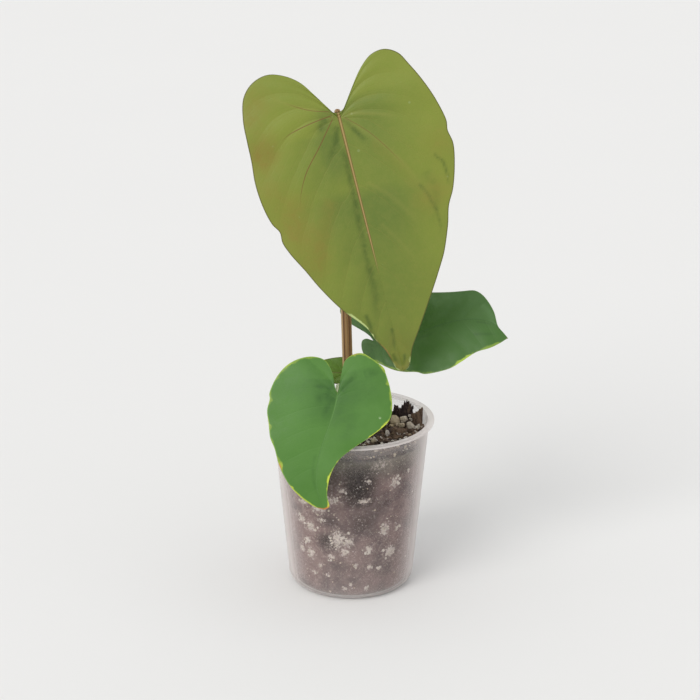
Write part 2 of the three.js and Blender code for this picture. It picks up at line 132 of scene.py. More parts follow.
# Each leaf in its own axes: u along the midrib from the sinus to the tip, v across it, as in the CAD model.
# Marks are (kind, strength, width, course of u and v); crease marks are painted shade along the folds.
# Spots are (u, v, radius, strength) of flushed areas, a bronze flush on the tall blade and painted sheen on
# the side and front blades. Lime and rust are (side, from, to, strength) of coloured stretches of the margin,
# and a stalk's radii are those of its base, middle, end and knuckle.
LEAVES = {
    "tall": {
        **COMMON_LEAF,
        "sinus": (-7.5, -6, 292.3), "along": (0.248, -0.26, -0.93), "face": (0, -0.93, 0.3),
        "bend": 0.0022, "bend_from": 130, "cross": 0.003, "fold_width": 5, "length": 160, "quilt": 0.6,
        "wave": 0.8, "waves": 7, "rib": 1.1, "groove": 0.25, "relief": 1.0, "fan": 4, "fields": 11,
        "rows": 240, "columns": 48, "sweep": 0.2, "rib_mm": 0.95, "vein_mm": 0.8, "vein_share": 0.12,
        "rib_fade": (0.46, 0.62), "specks": 0.12, "gloss": 0.3,
        "right": (
            (0, 0), (-0.5, 2.6), (-5.6, 7.7), (-14, 13), (-22.2, 19.9), (-27, 26.4), (-28.1, 34.3),
            (-24.3, 41.5), (-16.7, 46), (-4.8, 51.7), (7.4, 56.2), (20, 58.9), (25.4, 58.2), (33, 59.5),
            (45.7, 57.4), (58.2, 53.3), (67, 48.6), (78, 45.5), (92, 40), (101, 35), (113.5, 27.8),
            (133.5, 15.4), (145, 8.7), (152.5, 6), (158, 3.6), (160, 0),
        ),
        "left": (
            (0, 0), (-0.5, -2.7), (-3.3, -4.9), (-11.3, -9.9), (-21.4, -16.7), (-27.6, -25),
            (-30.3, -34.3), (-27.5, -43.8), (-21, -50.2), (-9, -53.6), (4.7, -54.5), (15, -54.9),
            (28, -56), (42, -55), (52.8, -52.4), (58.2, -49.4), (64.2, -49.4), (71, -47), (83, -41),
            (95, -35.4), (112.4, -25), (120.5, -18.5), (127, -14), (133.8, -11.5), (141.4, -7.6),
            (146.8, -6), (152.2, -4.8), (157.5, -3.2), (160, 0),
        ),
        "marks": (
            ("line", 0.9, 1, ((1, -3), (2.7, -17), (6, -31), (9, -36))),
            ("line", 0.9, 1, ((2, -3), (16.5, -15), (29, -26), (40, -32), (47, -34))),
            ("line", 0.6, 1, ((-1, -4), (-5, -16), (-12, -28))),
            ("line", 0.45, 1, ((3, 2), (15, 14), (27, 22.5), (40, 30))),
            ("pale", 0.3, 0.9, ((2, 4), (6, 20), (12, 36))),
            ("pale", 0.3, 0.9, ((-3, -10), (-10, -25), (-18, -36))),
            ("pale", 0.25, 1.1, ((3, 2), (27, 22.5), (44, 32), (60, 38))),
            ("pale", 0.22, 1.2, ((42, 6), (54, 18), (74, 30))),
            ("pale", 0.2, 1.2, ((67, 8), (83.5, 18), (96, 24))),
            ("crease", 1.0, 1.9, ((7, -2.3), (18, -6), (26.5, -12.6))),
            ("crease", 0.9, 2.0, ((1.5, -8), (11, -14.5))),
            ("crease", 1.0, 1.6, ((20, -2), (48, -3), (83, -4.6), (104, -5))),
            ("crease", 1.0, 1.4, ((4, 2.5), (7, 3.6), (16, 9), (22, 12.5))),
            ("crease", 0.8, 0.8, ((36, 47), (38, 48), (42, 51), (54, 51.6), (58, 51))),
            ("crease", 0.8, 0.9, ((50, 34), (55, 37), (69, 41), (77, 41), (82, 41))),
            ("crease", 0.25, 2.6, ((44, 40), (58, 43), (76, 36))),
            ("crease", 0.6, 2.6, ((88, -4), (104, -5), (122, -7))),
            ("crease", 1.0, 1.3, ((117, -13), (121, -12.7), (133, -11.3), (138, -10))),
            ("crease", 0.9, 1.0, ((129, -0.5), (132, -0.6), (141, -1.6), (145, -2))),
            ("crease", 1.0, 1.1, ((145, -3.4), (149, -2.9), (155, -1.3))),
            ("crease", 0.9, 0.9, ((147, 3), (151, 2.4), (155.5, 0.8))),
            ("pale", 0.7, 1.5, ((151, -4.4), (156.4, -1.2), (156.4, 2), (151, 4.6))),
            ("shade", 0.55, 20, ((-8, 14), (20, 14), (60, 16), (100, 6))),
            ("shade", 0.4, 16, ((10, -12), (46, -16), (70, -8))),
            ("shade", 0.6, 6, ((-4, -6), (12, -9), (30, -8), (42, -6))),
            ("shade", 0.55, 28, ((44, 2), (90, 0), (140, 0), (165, 0), (190, 0))),
            ("flush", 0.4, 4.5, ((46, -16), (74, -28), (96, -33))),
            ("flush", 0.2, 3.5, ((20, 14), (44, 30), (62, 36))),
        ),
        "spots": (
            (15.6, -48.5, 8, 0.85), (8, -45, 8, 0.6), (45, -38, 8, 0.55), (58, -42, 9, 0.65),
            (66, -35, 9, 0.5), (-16.5, -44, 9, 0.45), (34, -50, 9, 0.45), (80, -36, 9, 0.4),
            (57, 45.5, 8, 0.45), (61, 36, 7, 0.4), (30, 52, 9, 0.35), (-8, -51, 7, 0.5),
            (140, 2, 12, 0.25),
        ),
        "lime": (("left", 0.79, 0.9, 0.85), ("left", 0.955, 1.1, 1.0), ("right", 0.95, 1.1, 1.0)),
        "rust": (("left", 0.9, 0.955, 0.55),),
        "stalk": (
            (0, 0, 95.5), (-0.8, 0, 114), (-2, 0, 140), (-2.7, 0.3, 164), (-4.5, 1.6, 215),
            (-6.5, 2.4, 262), (-7.5, 1.3, 284), (-7.8, -2.3, 291.9),
        ),
        "radii": (3.6, 3.2, 1.9, 1.8),
    },
    "side": {
        **COMMON_LEAF,
        "sinus": (19.2, 14, 143.8), "along": (0.957, -0.22, 0.19), "face": (-0.1, -0.8, 0.6),
        "bend": 0.003, "bend_from": 50, "tip_bend": 0.008, "bow": 6, "length": 75.8, "quilt": 0.28,
        "wave": 0.7, "groove": 0.06, "relief": 0.3, "lime_mm": 1.0, "vein_share": 0.05, "specks": 0.2,
        "gloss": 0.4,
        "right": (
            (0, 0), (-5.7, 4.4), (-8, 7.7), (-13.3, 12.4), (-19.1, 16.4), (-24.5, 21), (-26.9, 27),
            (-24.3, 31.9), (-19, 34.6), (-9, 35.6), (11.4, 33), (32.1, 27.4), (42, 25.8), (50, 25.3),
            (57, 25.3), (60.6, 23.7), (64, 20.4), (68, 13.8), (70.5, 4.1), (75.5, 0),
        ),
        "left": (
            (0, 0), (-4.9, 3.1), (-8, 5.5), (-10.5, 6.5), (-13, 5.6), (-13.8, 2.3), (-12.9, -2.1),
            (-9.7, -6.3), (-2.8, -10.3), (5.1, -14.8), (13.3, -18.4), (21, -20.7), (24.7, -22.6),
            (30, -23.2), (41, -23), (47, -20.2), (56, -14.4), (64, -11), (70, -6.2), (75.5, 0),
        ),
        "rib_course": ((-30, 0), (0, 0), (10.7, 2.6), (35, 5.7), (59, 7), (67, 6), (72, 3), (75.5, 0)),
        "marks": (
            ("shade", 0.3, 9, ((0, 10), (22, 10.5), (44, 12), (56, 12))),
            ("crease", 0.35, 1.0, ((20, 0.5), (25, 1), (32, 1.5))),
            ("crease", 0.4, 0.8, ((57, 5.2), (63, 5.2), (68, 4.6))),
            ("crease", 0.35, 1.0, ((55, -3), (62, -2.2), (69, -0.5))),
            # Flush marks and spots of this blade are painted sheen, lighter grey green where the surface
            # catches the light
            ("flush", 0.2, 5, ((14, -1), (36, -1), (56, -1), (70, 1))),
            ("flush", 0.9, 5.5, ((6, 31), (22, 27), (40, 23), (56, 22), (66, 21))),
            ("flush", 0.6, 2.8, ((61, 17), (66, 11), (67, 3))),
        ),
        "spots": ((-4, -2, 9, 0.5), (36, 16, 8, 0.3), (20, 30, 8, 0.35), (30, -18, 9, 0.25)),
        "lime": (("left", 0.2, 0.66, 0.35), ("left", 0.66, 0.8, 0.9), ("left", 0.8, 0.98, 0.4)),
        "rust": (("left", 0.985, 1.1, 0.7), ("right", 0.985, 1.1, 0.7)),
        "stalk": (
            (5.2, 3.6, 95.5), (6.3, 5, 103), (9.5, 9.5, 115), (13.5, 15, 130), (17.5, 18.2, 138.5),
            (19, 15.7, 142.7),
        ),
        "radii": (2.3, 1.9, 1.7, 2.0),
    },
    "front": {
        **COMMON_LEAF,
        "sinus": (-7.8, -38, 133.9), "along": (-0.11, -0.5, -0.86), "face": (0, -0.86, 0.5),
        "bend": 0.002, "bend_from": 45, "lobe_bend": 0.006, "fold": 0.08, "bow": -7, "length": 68,
        "quilt": 0.14, "wave": 0.6, "groove": 0.16, "relief": 0.5, "lime_mm": 0.95, "vein_share": 0.04,
        "specks": 0.75,
        "right": (
            (0, 0), (-5, 0.9), (-15, 1.2), (-20, 2.3), (-24.2, 6.9), (-25.2, 12), (-23.4, 16.4),
            (-17.8, 25.4), (-15, 26.6), (-6.4, 30.1), (2.8, 32.4), (9.8, 33.3), (14, 32.4), (21.7, 26.9),
            (31.2, 17.8), (37.4, 12.6), (44.7, 9.3), (53, 7), (60.5, 5), (66, 4), (68, 0),
        ),
        "left": (
            (0, 0), (-2.7, -1.8), (-12, -4.6), (-18.6, -9.4), (-20.2, -16), (-18.6, -23), (-14, -30.5),
            (-7.6, -35.6), (0, -38.6), (4.7, -39.3), (7.5, -38.4), (14.2, -38), (22.3, -34.4),
            (30.3, -30.7), (36.4, -26.3), (44.2, -22.6), (51.8, -18.7), (58.6, -14.5), (64.2, -9.4),
            (67.5, -4.5), (68, 0),
        ),
        "marks": (
            ("crease", 0.9, 2.4, ((0.5, -1), (2, -5), (4, -9), (5, -13))),
            ("crease", 0.8, 1.2, ((-2, -3), (-2.5, -8), (-2, -16))),
            ("crease", 0.7, 1.5, ((3, -1.5), (9, -4), (16, -5))),
            ("crease", 0.9, 1.5, ((-1, 2), (-4, 4), (-9, 7), (-13, 11))),
            ("crease", 0.5, 2.4, ((-12, 14), (-14, 19), (-13, 24))),
            ("crease", 0.35, 1.0, ((37, -2.3), (42, -2.4), (52, -1.5), (63, 0))),
            ("crease", 0.3, 3.5, ((12, 8), (20, 12), (30, 10))),
            ("pale", 0.12, 0.9, ((4, 1), (18, -0.5), (34, -0.5), (50, 0.5))),
            ("shade", 0.95, 13, ((-8, -4), (6, -3), (22, -3))),
            ("shade", 0.5, 13, ((-16, 12), (-4, 16), (8, 18))),
            ("shade", 0.5, 11, ((-14, -13), (-3, -22), (10, -27))),
            ("shade", 0.12, 8, ((44, 2), (56, 1), (68, 0), (74, 0))),
        ),
        # These spots are painted sheen on the lobes
        "spots": (
            (-8, -24, 10, 0.5), (12, -22, 11, 0.4), (-14, 14, 8, 0.4), (10, 22, 9, 0.35),
            (40, 2, 8, 0.25),
        ),
        "lime": (
            ("right", 0.53, 1.1, 1.0), ("right", 0.3, 0.34, 0.7), ("right", 0.05, 0.53, 0.35),
            ("left", 0.28, 0.34, 0.5), ("left", 0.52, 0.6, 0.6), ("left", 0.74, 0.8, 0.55),
            ("left", 0.84, 1.1, 0.8), ("left", 0.05, 0.84, 0.25),
        ),
        "rust": (
            ("left", 0.755, 0.79, 0.9), ("right", 0.17, 0.21, 0.35), ("right", 0.96, 1.1, 0.95),
            ("left", 0.965, 1.1, 0.95),
        ),
        "stalk": (
            (-3.4, -5.2, 95.5), (-3.9, -7.2, 103), (-5, -13, 118.5), (-6.4, -22.5, 131.2),
            (-7.3, -29.3, 134.6), (-7.7, -35.5, 133.3),
        ),
        "radii": (2.3, 1.9, 1.7, 2.0),
    },
    "small": {
        **COMMON_LEAF,
        "sinus": (3, 10, 128.5), "along": (-0.97, -0.12, 0.08), "face": (0, -0.85, 0.5), "bend": 0.004,
        "bend_from": 18, "tip_bend": 0.01, "fold": 0.12, "fold_width": 3, "length": 34, "quilt": 0.4,
        "wave": 0.4, "waves": 3, "rib": 0.5, "groove": 0.2, "relief": 0.8, "fan": 2, "fields": 6,
        "rows": 108, "columns": 24, "sweep": 0.12, "rib_mm": 0.5, "vein_mm": 0.5, "vein_share": 0.15,
        "specks": 0.1,
        "right": (
            (0, 0), (-3, 1.6), (-5, 4), (-3, 6.8), (4, 7.6), (12, 7), (20, 5.6), (28, 2.8), (34, 0),
        ),
        "left": (
            (0, 0), (-3, -1.8), (-5.2, -5), (-2.5, -8.8), (4, -9.8), (13, -9.3), (21, -7.4), (28.5, -3.6),
            (34, 0),
        ),
        "marks": (("pale", 0.3, 0.7, ((3, 0), (18, 0), (30, 0))),),
        "spots": ((8, 4, 8, 0.5), (20, 3, 8, 0.4)),
        "lime": (("left", 0.3, 1.0, 0.3), ("right", 0.3, 1.0, 0.3)),
        "stalk": ((0.8, 6.2, 95.5), (1.5, 7.4, 103), (3, 11, 114), (4, 13.2, 122), (3.8, 11.7, 127.5)),
        "radii": (2.0, 1.5, 1.4, 1.6),
    },
}

ROOT_COURSES = (
    ((4, -3, 80), (14, -9, 74), (24, -14, 60), (28, -17, 42)),
    ((-4, -3, 78), (-13, -8, 72), (-23, -10, 58), (-26, -16, 38)),
    ((-3, 4, 76), (-9, 13, 70), (-14, 22, 54), (-12, 28, 34)),
    ((3, 4, 79), (11, 11, 71), (20, 17, 58), (25, 20, 44)),
    ((0, 0, 70), (1, -3, 56), (-2, -2, 40), (2, 3, 22)),
)

# Upright bark at the back right and leaning chips before it: x, y, z, length, width, turn, tilt, tone and
# the outline of the torn top
UPRIGHT_CHIPS = (
    (
        33.6, 21.5, 99, 18, 9, 0.1, -0.1, 0.0,
        (0.25, 0.5, 0.36, 0.62, 0.5, 0.86, 0.74, 1.04, 0.8, 0.9, 0.62, 0.74, 0.45, 0.56, 0.3),
    ),
    (40.6, 12.5, 98, 15.5, 8, 0.2, -0.12, 0.75, (0.55, 0.42, 0.62, 0.5, 0.7, 0.66, 0.8, 0.84, 1.05, 0.8)),
    (28.4, 23, 97.5, 14, 5.5, 0.1, 0.05, 0.05, (0.62, 1.0, 0.76, 0.84, 0.5, 0.62, 0.3)),
    (43, 5, 94.5, 8, 5, 1.2, -0.1, 0.8, (0.6, 1.0, 0.9, 0.5)),
    (29, -3, 94.6, 10, 7, 2.2, 0.8, 0.95, (0.7, 1.0, 0.8, 0.9, 0.5)),
    (20, 0, 93, 9, 7, 2.6, 0.7, 0.0, (0.6, 0.9, 0.7, 1.0)),
    (17, -12, 93.5, 8, 6, 0.6, 0.8, 0.0, (0.5, 1.0, 0.6, 0.8)),
)

# Stones that show over the rim: x, y, z, half sizes across, deep and high, turn, tone
TOP_STONES = (
    (32.4, 12.6, 98, 2.9, 2.4, 2.3, 0.2, 0.5), (36.2, 4.5, 96.6, 2.5, 2.6, 3.9, 0.5, 0.6),
    (26.6, 12, 97, 3.8, 3.2, 4.6, 0.9, 0.15), (30, 6.8, 95.9, 4.0, 2.6, 2.6, 0.3, 0.2),
    (35.6, 14.6, 99.4, 1.1, 0.9, 1.1, 0.4, 1.2), (22, -5.5, 95.6, 2.4, 2.0, 2.9, 0.8, 1.1),
    (13.3, -18.5, 96, 2.5, 2.2, 2.3, 0.1, 0.2), (42.2, 4.6, 96, 2.2, 1.6, 2.2, 1.0, 0.9),
    (25, -18, 95.6, 2.0, 1.5, 1.1, 0.5, 1.0), (33, -12, 95.6, 1.9, 1.5, 1.1, 1.3, 1.0),
    (38.6, -4.5, 95.6, 1.9, 1.4, 1.1, 0.2, 1.1), (18.5, -20.5, 95.4, 1.9, 1.5, 1.0, 0.9, 0.9),
    (8, -23.5, 95.3, 2.2, 1.5, 1.3, 0.4, 0.6), (29.5, -15, 95.4, 1.4, 1.2, 0.9, 0.1, 1.1),
    (36, -8.5, 95.4, 1.4, 1.2, 0.9, 0.7, 1.0), (24.5, 8, 95, 2.6, 2.2, 2.0, 0.3, 0.0),
)

# Blunt lumps of bark among them, in the same terms
BARK_LUMPS = (
    (29.4, -3.4, 96, 4.6, 2.8, 3.1, -0.35, 1.0), (35.6, -1, 95.6, 2.2, 1.8, 2.2, 0.4, 0.5),
    (15.5, -8, 95, 3.2, 2.4, 2.0, 0.8, 0.0),
)

# White, crumbly patches against the wall: azimuth in degrees, height, width, tallness and, where one is
# faint, a strength
WALL_PATCHES = (
    (-102, 41, 9.0, 11.0), (-92, 40, 5.0, 7.2), (-128, 47, 7.5, 6.2), (-137, 50, 6.0, 6.0),
    (-132, 37, 5.6, 4.2), (-96, 33, 5.4, 5.2), (-129, 29, 5.4, 5.6), (-140, 30, 4.6, 4.4),
    (-60, 46, 5.6, 8.2), (-53, 76, 5.6, 6.8), (-74, 34, 4.8, 4.8), (-53, 30, 7.4, 7.2),
    (-79, 67, 6.4, 3.0), (-97, 74, 4.6, 2.6), (-105, 67, 6.4, 4.2), (-73, 22, 3.8, 3.2),
    (-76, 8, 3.6, 2.6), (-97, 8, 2.8, 2.6), (-119, 22, 2.8, 2.2), (-66, 90, 9.0, 7.0, 0.5),
    (-76, 80, 2.8, 2.8), (-38, 81, 3.0, 2.2), (-112, 16, 3.2, 2.6), (-118, 60, 7.0, 3.6),
    (-90, 11, 2.4, 2.0), (-126, 16, 3.0, 2.4), (-108, 29, 5.0, 3.4), (-116, 53, 5.0, 2.6),
    (-46, 45, 3.4, 3.0), (-64, 20, 2.6, 2.2), (-86, 24, 2.4, 2.0), (-134, 62, 5.0, 3.6),
)

# Painted shade of hollows in the mix behind the wall, in the same terms with a strength
WALL_HOLLOW_SHADE = (
    (-84, 77, 20, 27, 0.95), (-80, 53, 15, 14, 0.6), (-112, 39, 12, 10, 0.7), (-106, 80, 16, 18, 0.6),
    (-68, 62, 10, 8, 0.3), (-44, 84, 12, 9, 0.4), (-112, 52, 14, 7, 0.35), (-72, 47, 9, 7, 0.35),
    (-98, 22, 12, 6, 0.3), (-60, 18, 12, 7, 0.3),
)


def length_of(name, description, default):
    return bpy.props.FloatProperty(name=name, description=description, default=default, unit="LENGTH")


def count_of(name, description, default):
    return bpy.props.IntProperty(name=name, description=description, default=default, min=0)


def strength_of(name, description, default):
    return bpy.props.FloatProperty(name=name, description=description, default=default, min=0)


def colour_of(name, description, default):
    return bpy.props.FloatVectorProperty(
        name=name, description=description, default=default, subtype="COLOR", size=3, min=0, max=1
    )


class PotSettings(bpy.types.PropertyGroup):
    """Sizes and finish of the pot."""

    rim_radius: length_of("Rim radius", "Outer radius of the rim flange", 0.05)
    height: length_of("Height", "From the base to the top of the rim", 0.104)
    wall_top: length_of("Wall top radius", "Outer radius of the wall at the rim", 0.0471)
    wall_base: length_of("Wall base radius", "Outer radius of the wall at the base", 0.0373)
    wall_thick: length_of("Wall thickness", "Thickness of the plastic", 0.0011)
    corner: length_of("Corner radius", "Round between the wall and the base", 0.007)
    rim_thick: length_of("Rim thickness", "Height of the rim flange", 0.0016)
    tint: colour_of("Plastic colour", "Colour of the frosted plastic", srgb(226, 218, 215))
    veil: bpy.props.FloatProperty(
        name="Veil", description="Share of light that one skin of the wall stops, seen face on",
        default=0.01, min=0, max=1, subtype="FACTOR",
    )


class MixSettings(bpy.types.PropertyGroup):
    """Amounts and colours of the potting mix."""

    top_bark: count_of("Top bark", "Bark chips on the surface", 260)
    top_crumbs: count_of("Top crumbs", "Small crumbs on the surface", 800)
    front_crumbs: count_of("Front crumbs", "Pale crumbs in the strip that first shows over the rim", 90)
    top_pumice: count_of("Top pumice", "Pale lumps on the surface", 60)
    wall_patches: count_of("Wall patches", "White crumbly patches round the unseen sides", 40)
    wall_specks: count_of("Wall specks", "Small pale specks against the wall", 620)
    bark_dark: colour_of("Dark bark", "Darkest bark colour", srgb(50, 38, 39))
    bark_brown: colour_of("Brown bark", "Lightest bark colour", srgb(114, 93, 76))
    pumice: colour_of("Pumice", "Colour of the pale lumps", srgb(180, 163, 133))


class LeafSettings(bpy.types.PropertyGroup):
    """Colours of the blades and stalks."""

    tall: colour_of("Tall blade", "Olive green of the tall blade", srgb(126, 138, 52))
    side: colour_of("Side blade", "Deep green of the side blade", srgb(64, 105, 40))
    front: colour_of("Front blade", "Mid green of the front blade", srgb(76, 122, 46))
    small: colour_of("Small blade", "Dark olive of the small blade", srgb(86, 122, 40))
    brown_stalk: colour_of("Brown stalk", "Colour of the tall stalk", srgb(147, 111, 66))
    green_stalk: colour_of("Green stalk", "Colour of the short stalks", srgb(140, 150, 96))
    vein_relief: length_of("Vein relief", "Depth of the fine vein bump", 0.00035)


class StageSettings(bpy.types.PropertyGroup):
    """Camera, light and floor."""

    camera_place: bpy.props.FloatVectorProperty(
        name="Camera", description="Where the camera stands", subtype="TRANSLATION", unit="LENGTH",
        default=(-0.0006, -1.176, 0.561),
    )
    look_down: bpy.props.FloatProperty(
        name="Look down", description="Angle of the camera below the horizon", subtype="ANGLE",
        default=math.radians(19.4),
    )
    lens: bpy.props.FloatProperty(
        name="Lens", description="Focal length on a 36 mm sensor", default=108, min=1
    )
    floor_colour: colour_of("Floor", "Colour of the pale floor", (0.8, 0.8, 0.795))
    sky: strength_of("Soft light", "Strength of the even light from all round", 0.8)
    sun: strength_of("Window light", "Strength of the broad light from the left", 1.3)


# Shader helpers


def plug(tree, value, socket):
    """Links a socket, or sets a plain number or colour on it."""
    if isinstance(value, bpy.types.NodeSocket):
        tree.links.new(value, socket)
    elif socket.type == "RGBA" and len(value) == 3:
        socket.default_value = (*value, 1)
    else:
        socket.default_value = value


def add_node(tree, kind, inputs=None, **choices):
    node = tree.nodes.new(kind)
    for name, value in choices.items():
        setattr(node, name, value)
    for name, value in (inputs or {}).items():
        plug(tree, value, node.inputs[name])
    return node


def blend(tree, share, first, second):
    """Mixes two colours; the node's colour sockets are found by place, because its names repeat."""
    node = add_node(tree, "ShaderNodeMix", data_type="RGBA")
    for place_in, value in ((MIX_SHARE, share), (MIX_FIRST, first), (MIX_SECOND, second)):
        plug(tree, value, node.inputs[place_in])
    return node.outputs[MIX_RESULT]


def maths(tree, operation, first, second=None, third=None, clamp=False):
    node = add_node(tree, "ShaderNodeMath", operation=operation, use_clamp=clamp)
    for value, socket in zip((first, second, third), node.inputs):
        if value is not None:
            plug(tree, value, socket)
    return node.outputs[0]


def times(tree, first, second):
    return maths(tree, "MULTIPLY", first, second)


def step(tree, value, low, high, first=0.0, last=1.0):
    """Smooth step of a value from low to high."""
    node = add_node(tree, "ShaderNodeMapRange", interpolation_type="SMOOTHSTEP")
    names = ("Value", "From Min", "From Max", "To Min", "To Max")
    for name, given in zip(names, (value, low, high, first, last)):
        plug(tree, given, node.inputs[name])
    return node.outputs[0]


def attribute(tree, name):
    return add_node(tree, "ShaderNodeAttribute", attribute_name=name).outputs["Fac"]


def place(tree):
    return add_node(tree, "ShaderNodeTexCoord").outputs["Object"]


def noise(tree, vector, scale, detail=3.0, roughness=0.5):
    given = {"Vector": vector, "Scale": scale, "Detail": detail, "Roughness": roughness}
    return add_node(tree, "ShaderNodeTexNoise", given).outputs["Fac"]


def cells(tree, vector, scale, feature="F1"):
    given = {"Vector": vector, "Scale": scale}
    return add_node(tree, "ShaderNodeTexVoronoi", given, feature=feature).outputs["Distance"]


def start_group(name, inputs, outputs):
    """New shader group; returns its tree, its inputs by name and a function that fills an output."""
    group = bpy.data.node_groups.new(name, "ShaderNodeTree")
    for label, value in inputs.items():
        socket = group.interface.new_socket(label, in_out="INPUT", socket_type="NodeSocketFloat")
        socket.default_value = value
    for label in outputs:
        group.interface.new_socket(label, in_out="OUTPUT", socket_type="NodeSocketFloat")
    given = group.nodes.new("NodeGroupInput").outputs
    result = group.nodes.new("NodeGroupOutput").inputs
    return group, given, lambda label, value: plug(group, value, result[label])


def use_group(tree, build, values=None):
    """Places a group in a material; the group is built the first time it is asked for."""
    group = bpy.data.node_groups.get(build.__name__) or build()
    return add_node(tree, "ShaderNodeGroup", values, node_tree=group).outputs


def mottle():
    """Soft patches: a mask from noise, cut between Low and High."""
    inputs = {"Scale": 40.0, "Detail": 3.0, "Low": 0.4, "High": 0.6}
    group, given, give = start_group("mottle", inputs, ["Mask"])
    cloud = noise(group, place(group), given["Scale"], given["Detail"])
    give("Mask", step(group, cloud, given["Low"], given["High"]))
    return group


def skin_grain():
    """Fine cell texture of a surface: a value round 0.5 and a height."""
    group, given, give = start_group("skin_grain", {"Scale": 900.0, "Pits": 0.5}, ["Value", "Height"])
    here = place(group)
    fine = noise(group, here, given["Scale"], 2.0)
    pits = step(group, cells(group, here, given["Scale"]), 0.0, 0.5)
    give("Value", fine)
    give("Height", maths(group, "MULTIPLY_ADD", pits, given["Pits"], fine))
    return group


def leaf_veins():
    """Veins from the blade's own coordinates: midrib and its sides, side veins, thin veins, net, relief."""
    inputs = {"Rib Width": 1.0, "Vein Width": 0.8, "Net Scale": 330.0}
    outputs = ["Rib", "Rib Sides", "Veins", "Thin", "Net", "Height"]
    group, given, give = start_group("leaf_veins", inputs, outputs)
    field = attribute(group, "field_mm")
    taper = maths(group, "SUBTRACT", 1.05, times(group, attribute(group, "along"), 0.75))
    width = times(group, given["Rib Width"], taper)
    wobble = maths(group, "MULTIPLY_ADD", noise(group, place(group), 120.0), 0.16, -0.08)
    row = maths(group, "ADD", attribute(group, "row"), wobble)

    def line(value, wide, reach):
        """A line where value is whole, with its width in millimetres where reach is."""
        away = maths(group, "ABSOLUTE", maths(group, "SUBTRACT", value, maths(group, "ROUND", value)))
        return step(group, times(group, away, reach), times(group, wide, 0.25), wide, 1.0, 0.0)

    def band(share):
        """Band along the midrib, its half width a share of the rib's width."""
        wide = times(group, width, share)
        return step(group, attribute(group, "rib_mm"), times(group, wide, 0.6), wide, 1.0, 0.0)

    rib = band(0.62)
    sides = maths(group, "SUBTRACT", band(1.15), rib, clamp=True)
    thinning = step(group, attribute(group, "across"), 0.25, 1.0, 1.0, 0.25)
    veins = times(group, line(row, given["Vein Width"], field), thinning)
    third_row = maths(group, "MULTIPLY_ADD", row, 3.0, 0.5)
    thin = line(third_row, times(group, given["Vein Width"], 0.6), times(group, field, 0.333))
    net = step(group, cells(group, place(group), given["Net Scale"], "DISTANCE_TO_EDGE"), 0.0, 0.12, 1.0, 0.0)
    relief = times(group, rib, -1.0)
    for mask, depth in ((veins, -0.5), (thin, -0.2), (net, -0.15), (attribute(group, "crease"), -0.7)):
        relief = maths(group, "MULTIPLY_ADD", mask, depth, relief)
    for label, value in zip(outputs, (rib, sides, veins, thin, net, relief)):
        give(label, value)
    return group


def stalk_fibres():
    """Streaks that run along a stalk, from its own round and lengthwise coordinates."""
    group, given, give = start_group("stalk_fibres", {"Count": 9.0, "Stretch": 3.0}, ["Streak", "Height"])
    axes = (("X", "turn_x", "Count"), ("Y", "turn_y", "Count"), ("Z", "along", "Stretch"))
    inputs = {axis: times(group, attribute(group, label), given[by]) for axis, label, by in axes}
    stretched = add_node(group, "ShaderNodeCombineXYZ", inputs).outputs[0]
    streak = noise(group, stretched, 1.0, 4.0, 0.6)
    give("Streak", step(group, streak, 0.3, 0.7))
    give("Height", streak)
    return group


def stalk_stripe():
    """One stripe along a stalk: Place is its share of the way round from the left, Width its half width."""
    group, given, give = start_group("stalk_stripe", {"Place": 0.25, "Width": 0.05}, ["Mask"])
    angle = times(group, given["Place"], math.tau)
    across = times(group, attribute(group, "turn_x"), maths(group, "COSINE", angle))
    facing = maths(group, "MULTIPLY_ADD", attribute(group, "turn_y"), maths(group, "SINE", angle), across)
    turn = maths(group, "ARCCOSINE", maths(group, "MINIMUM", facing, 0.9999))
    away = maths(group, "DIVIDE", turn, math.tau)
    inner = times(group, given["Width"], 0.4)
    give("Mask", step(group, away, inner, given["Width"], 1.0, 0.0))
    return group


def soft_patches(tree, scale, low=0.4, high=0.6, detail=3.0):
    values = {"Scale": scale, "Detail": detail, "Low": low, "High": high}
    return use_group(tree, mottle, values)["Mask"]


class Skin:
    """A material painted in layers of colour, each laid on through a mask."""

    def __init__(self, name, colour, gloss=0.5):
        self.material = bpy.data.materials.new(name)
        self.material.use_nodes = True
        self.tree = self.material.node_tree
        self.colour = colour
        self.feed("Specular IOR Level", gloss)

    def feed(self, name, value):
        """Sets or links one input of the shader."""
        plug(self.tree, value, self.tree.nodes["Principled BSDF"].inputs[name])

    def lay(self, mask, tint, share=None):
        """Blends a colour over those below, through the mask or a share of it."""
        if share is not None:
            mask = times(self.tree, mask, share)
        self.colour = blend(self.tree, mask, self.colour, tint)

    def bump(self, height, distance, strength):
        given = {"Height": height, "Distance": distance, "Strength": strength}
        self.feed("Normal", add_node(self.tree, "ShaderNodeBump", given).outputs[0])

    def done(self, roughness):
        """Puts the colour and the roughness on the shader and hands out the material."""
        self.feed("Base Color", self.colour)
        self.feed("Roughness", roughness)
        return self.material
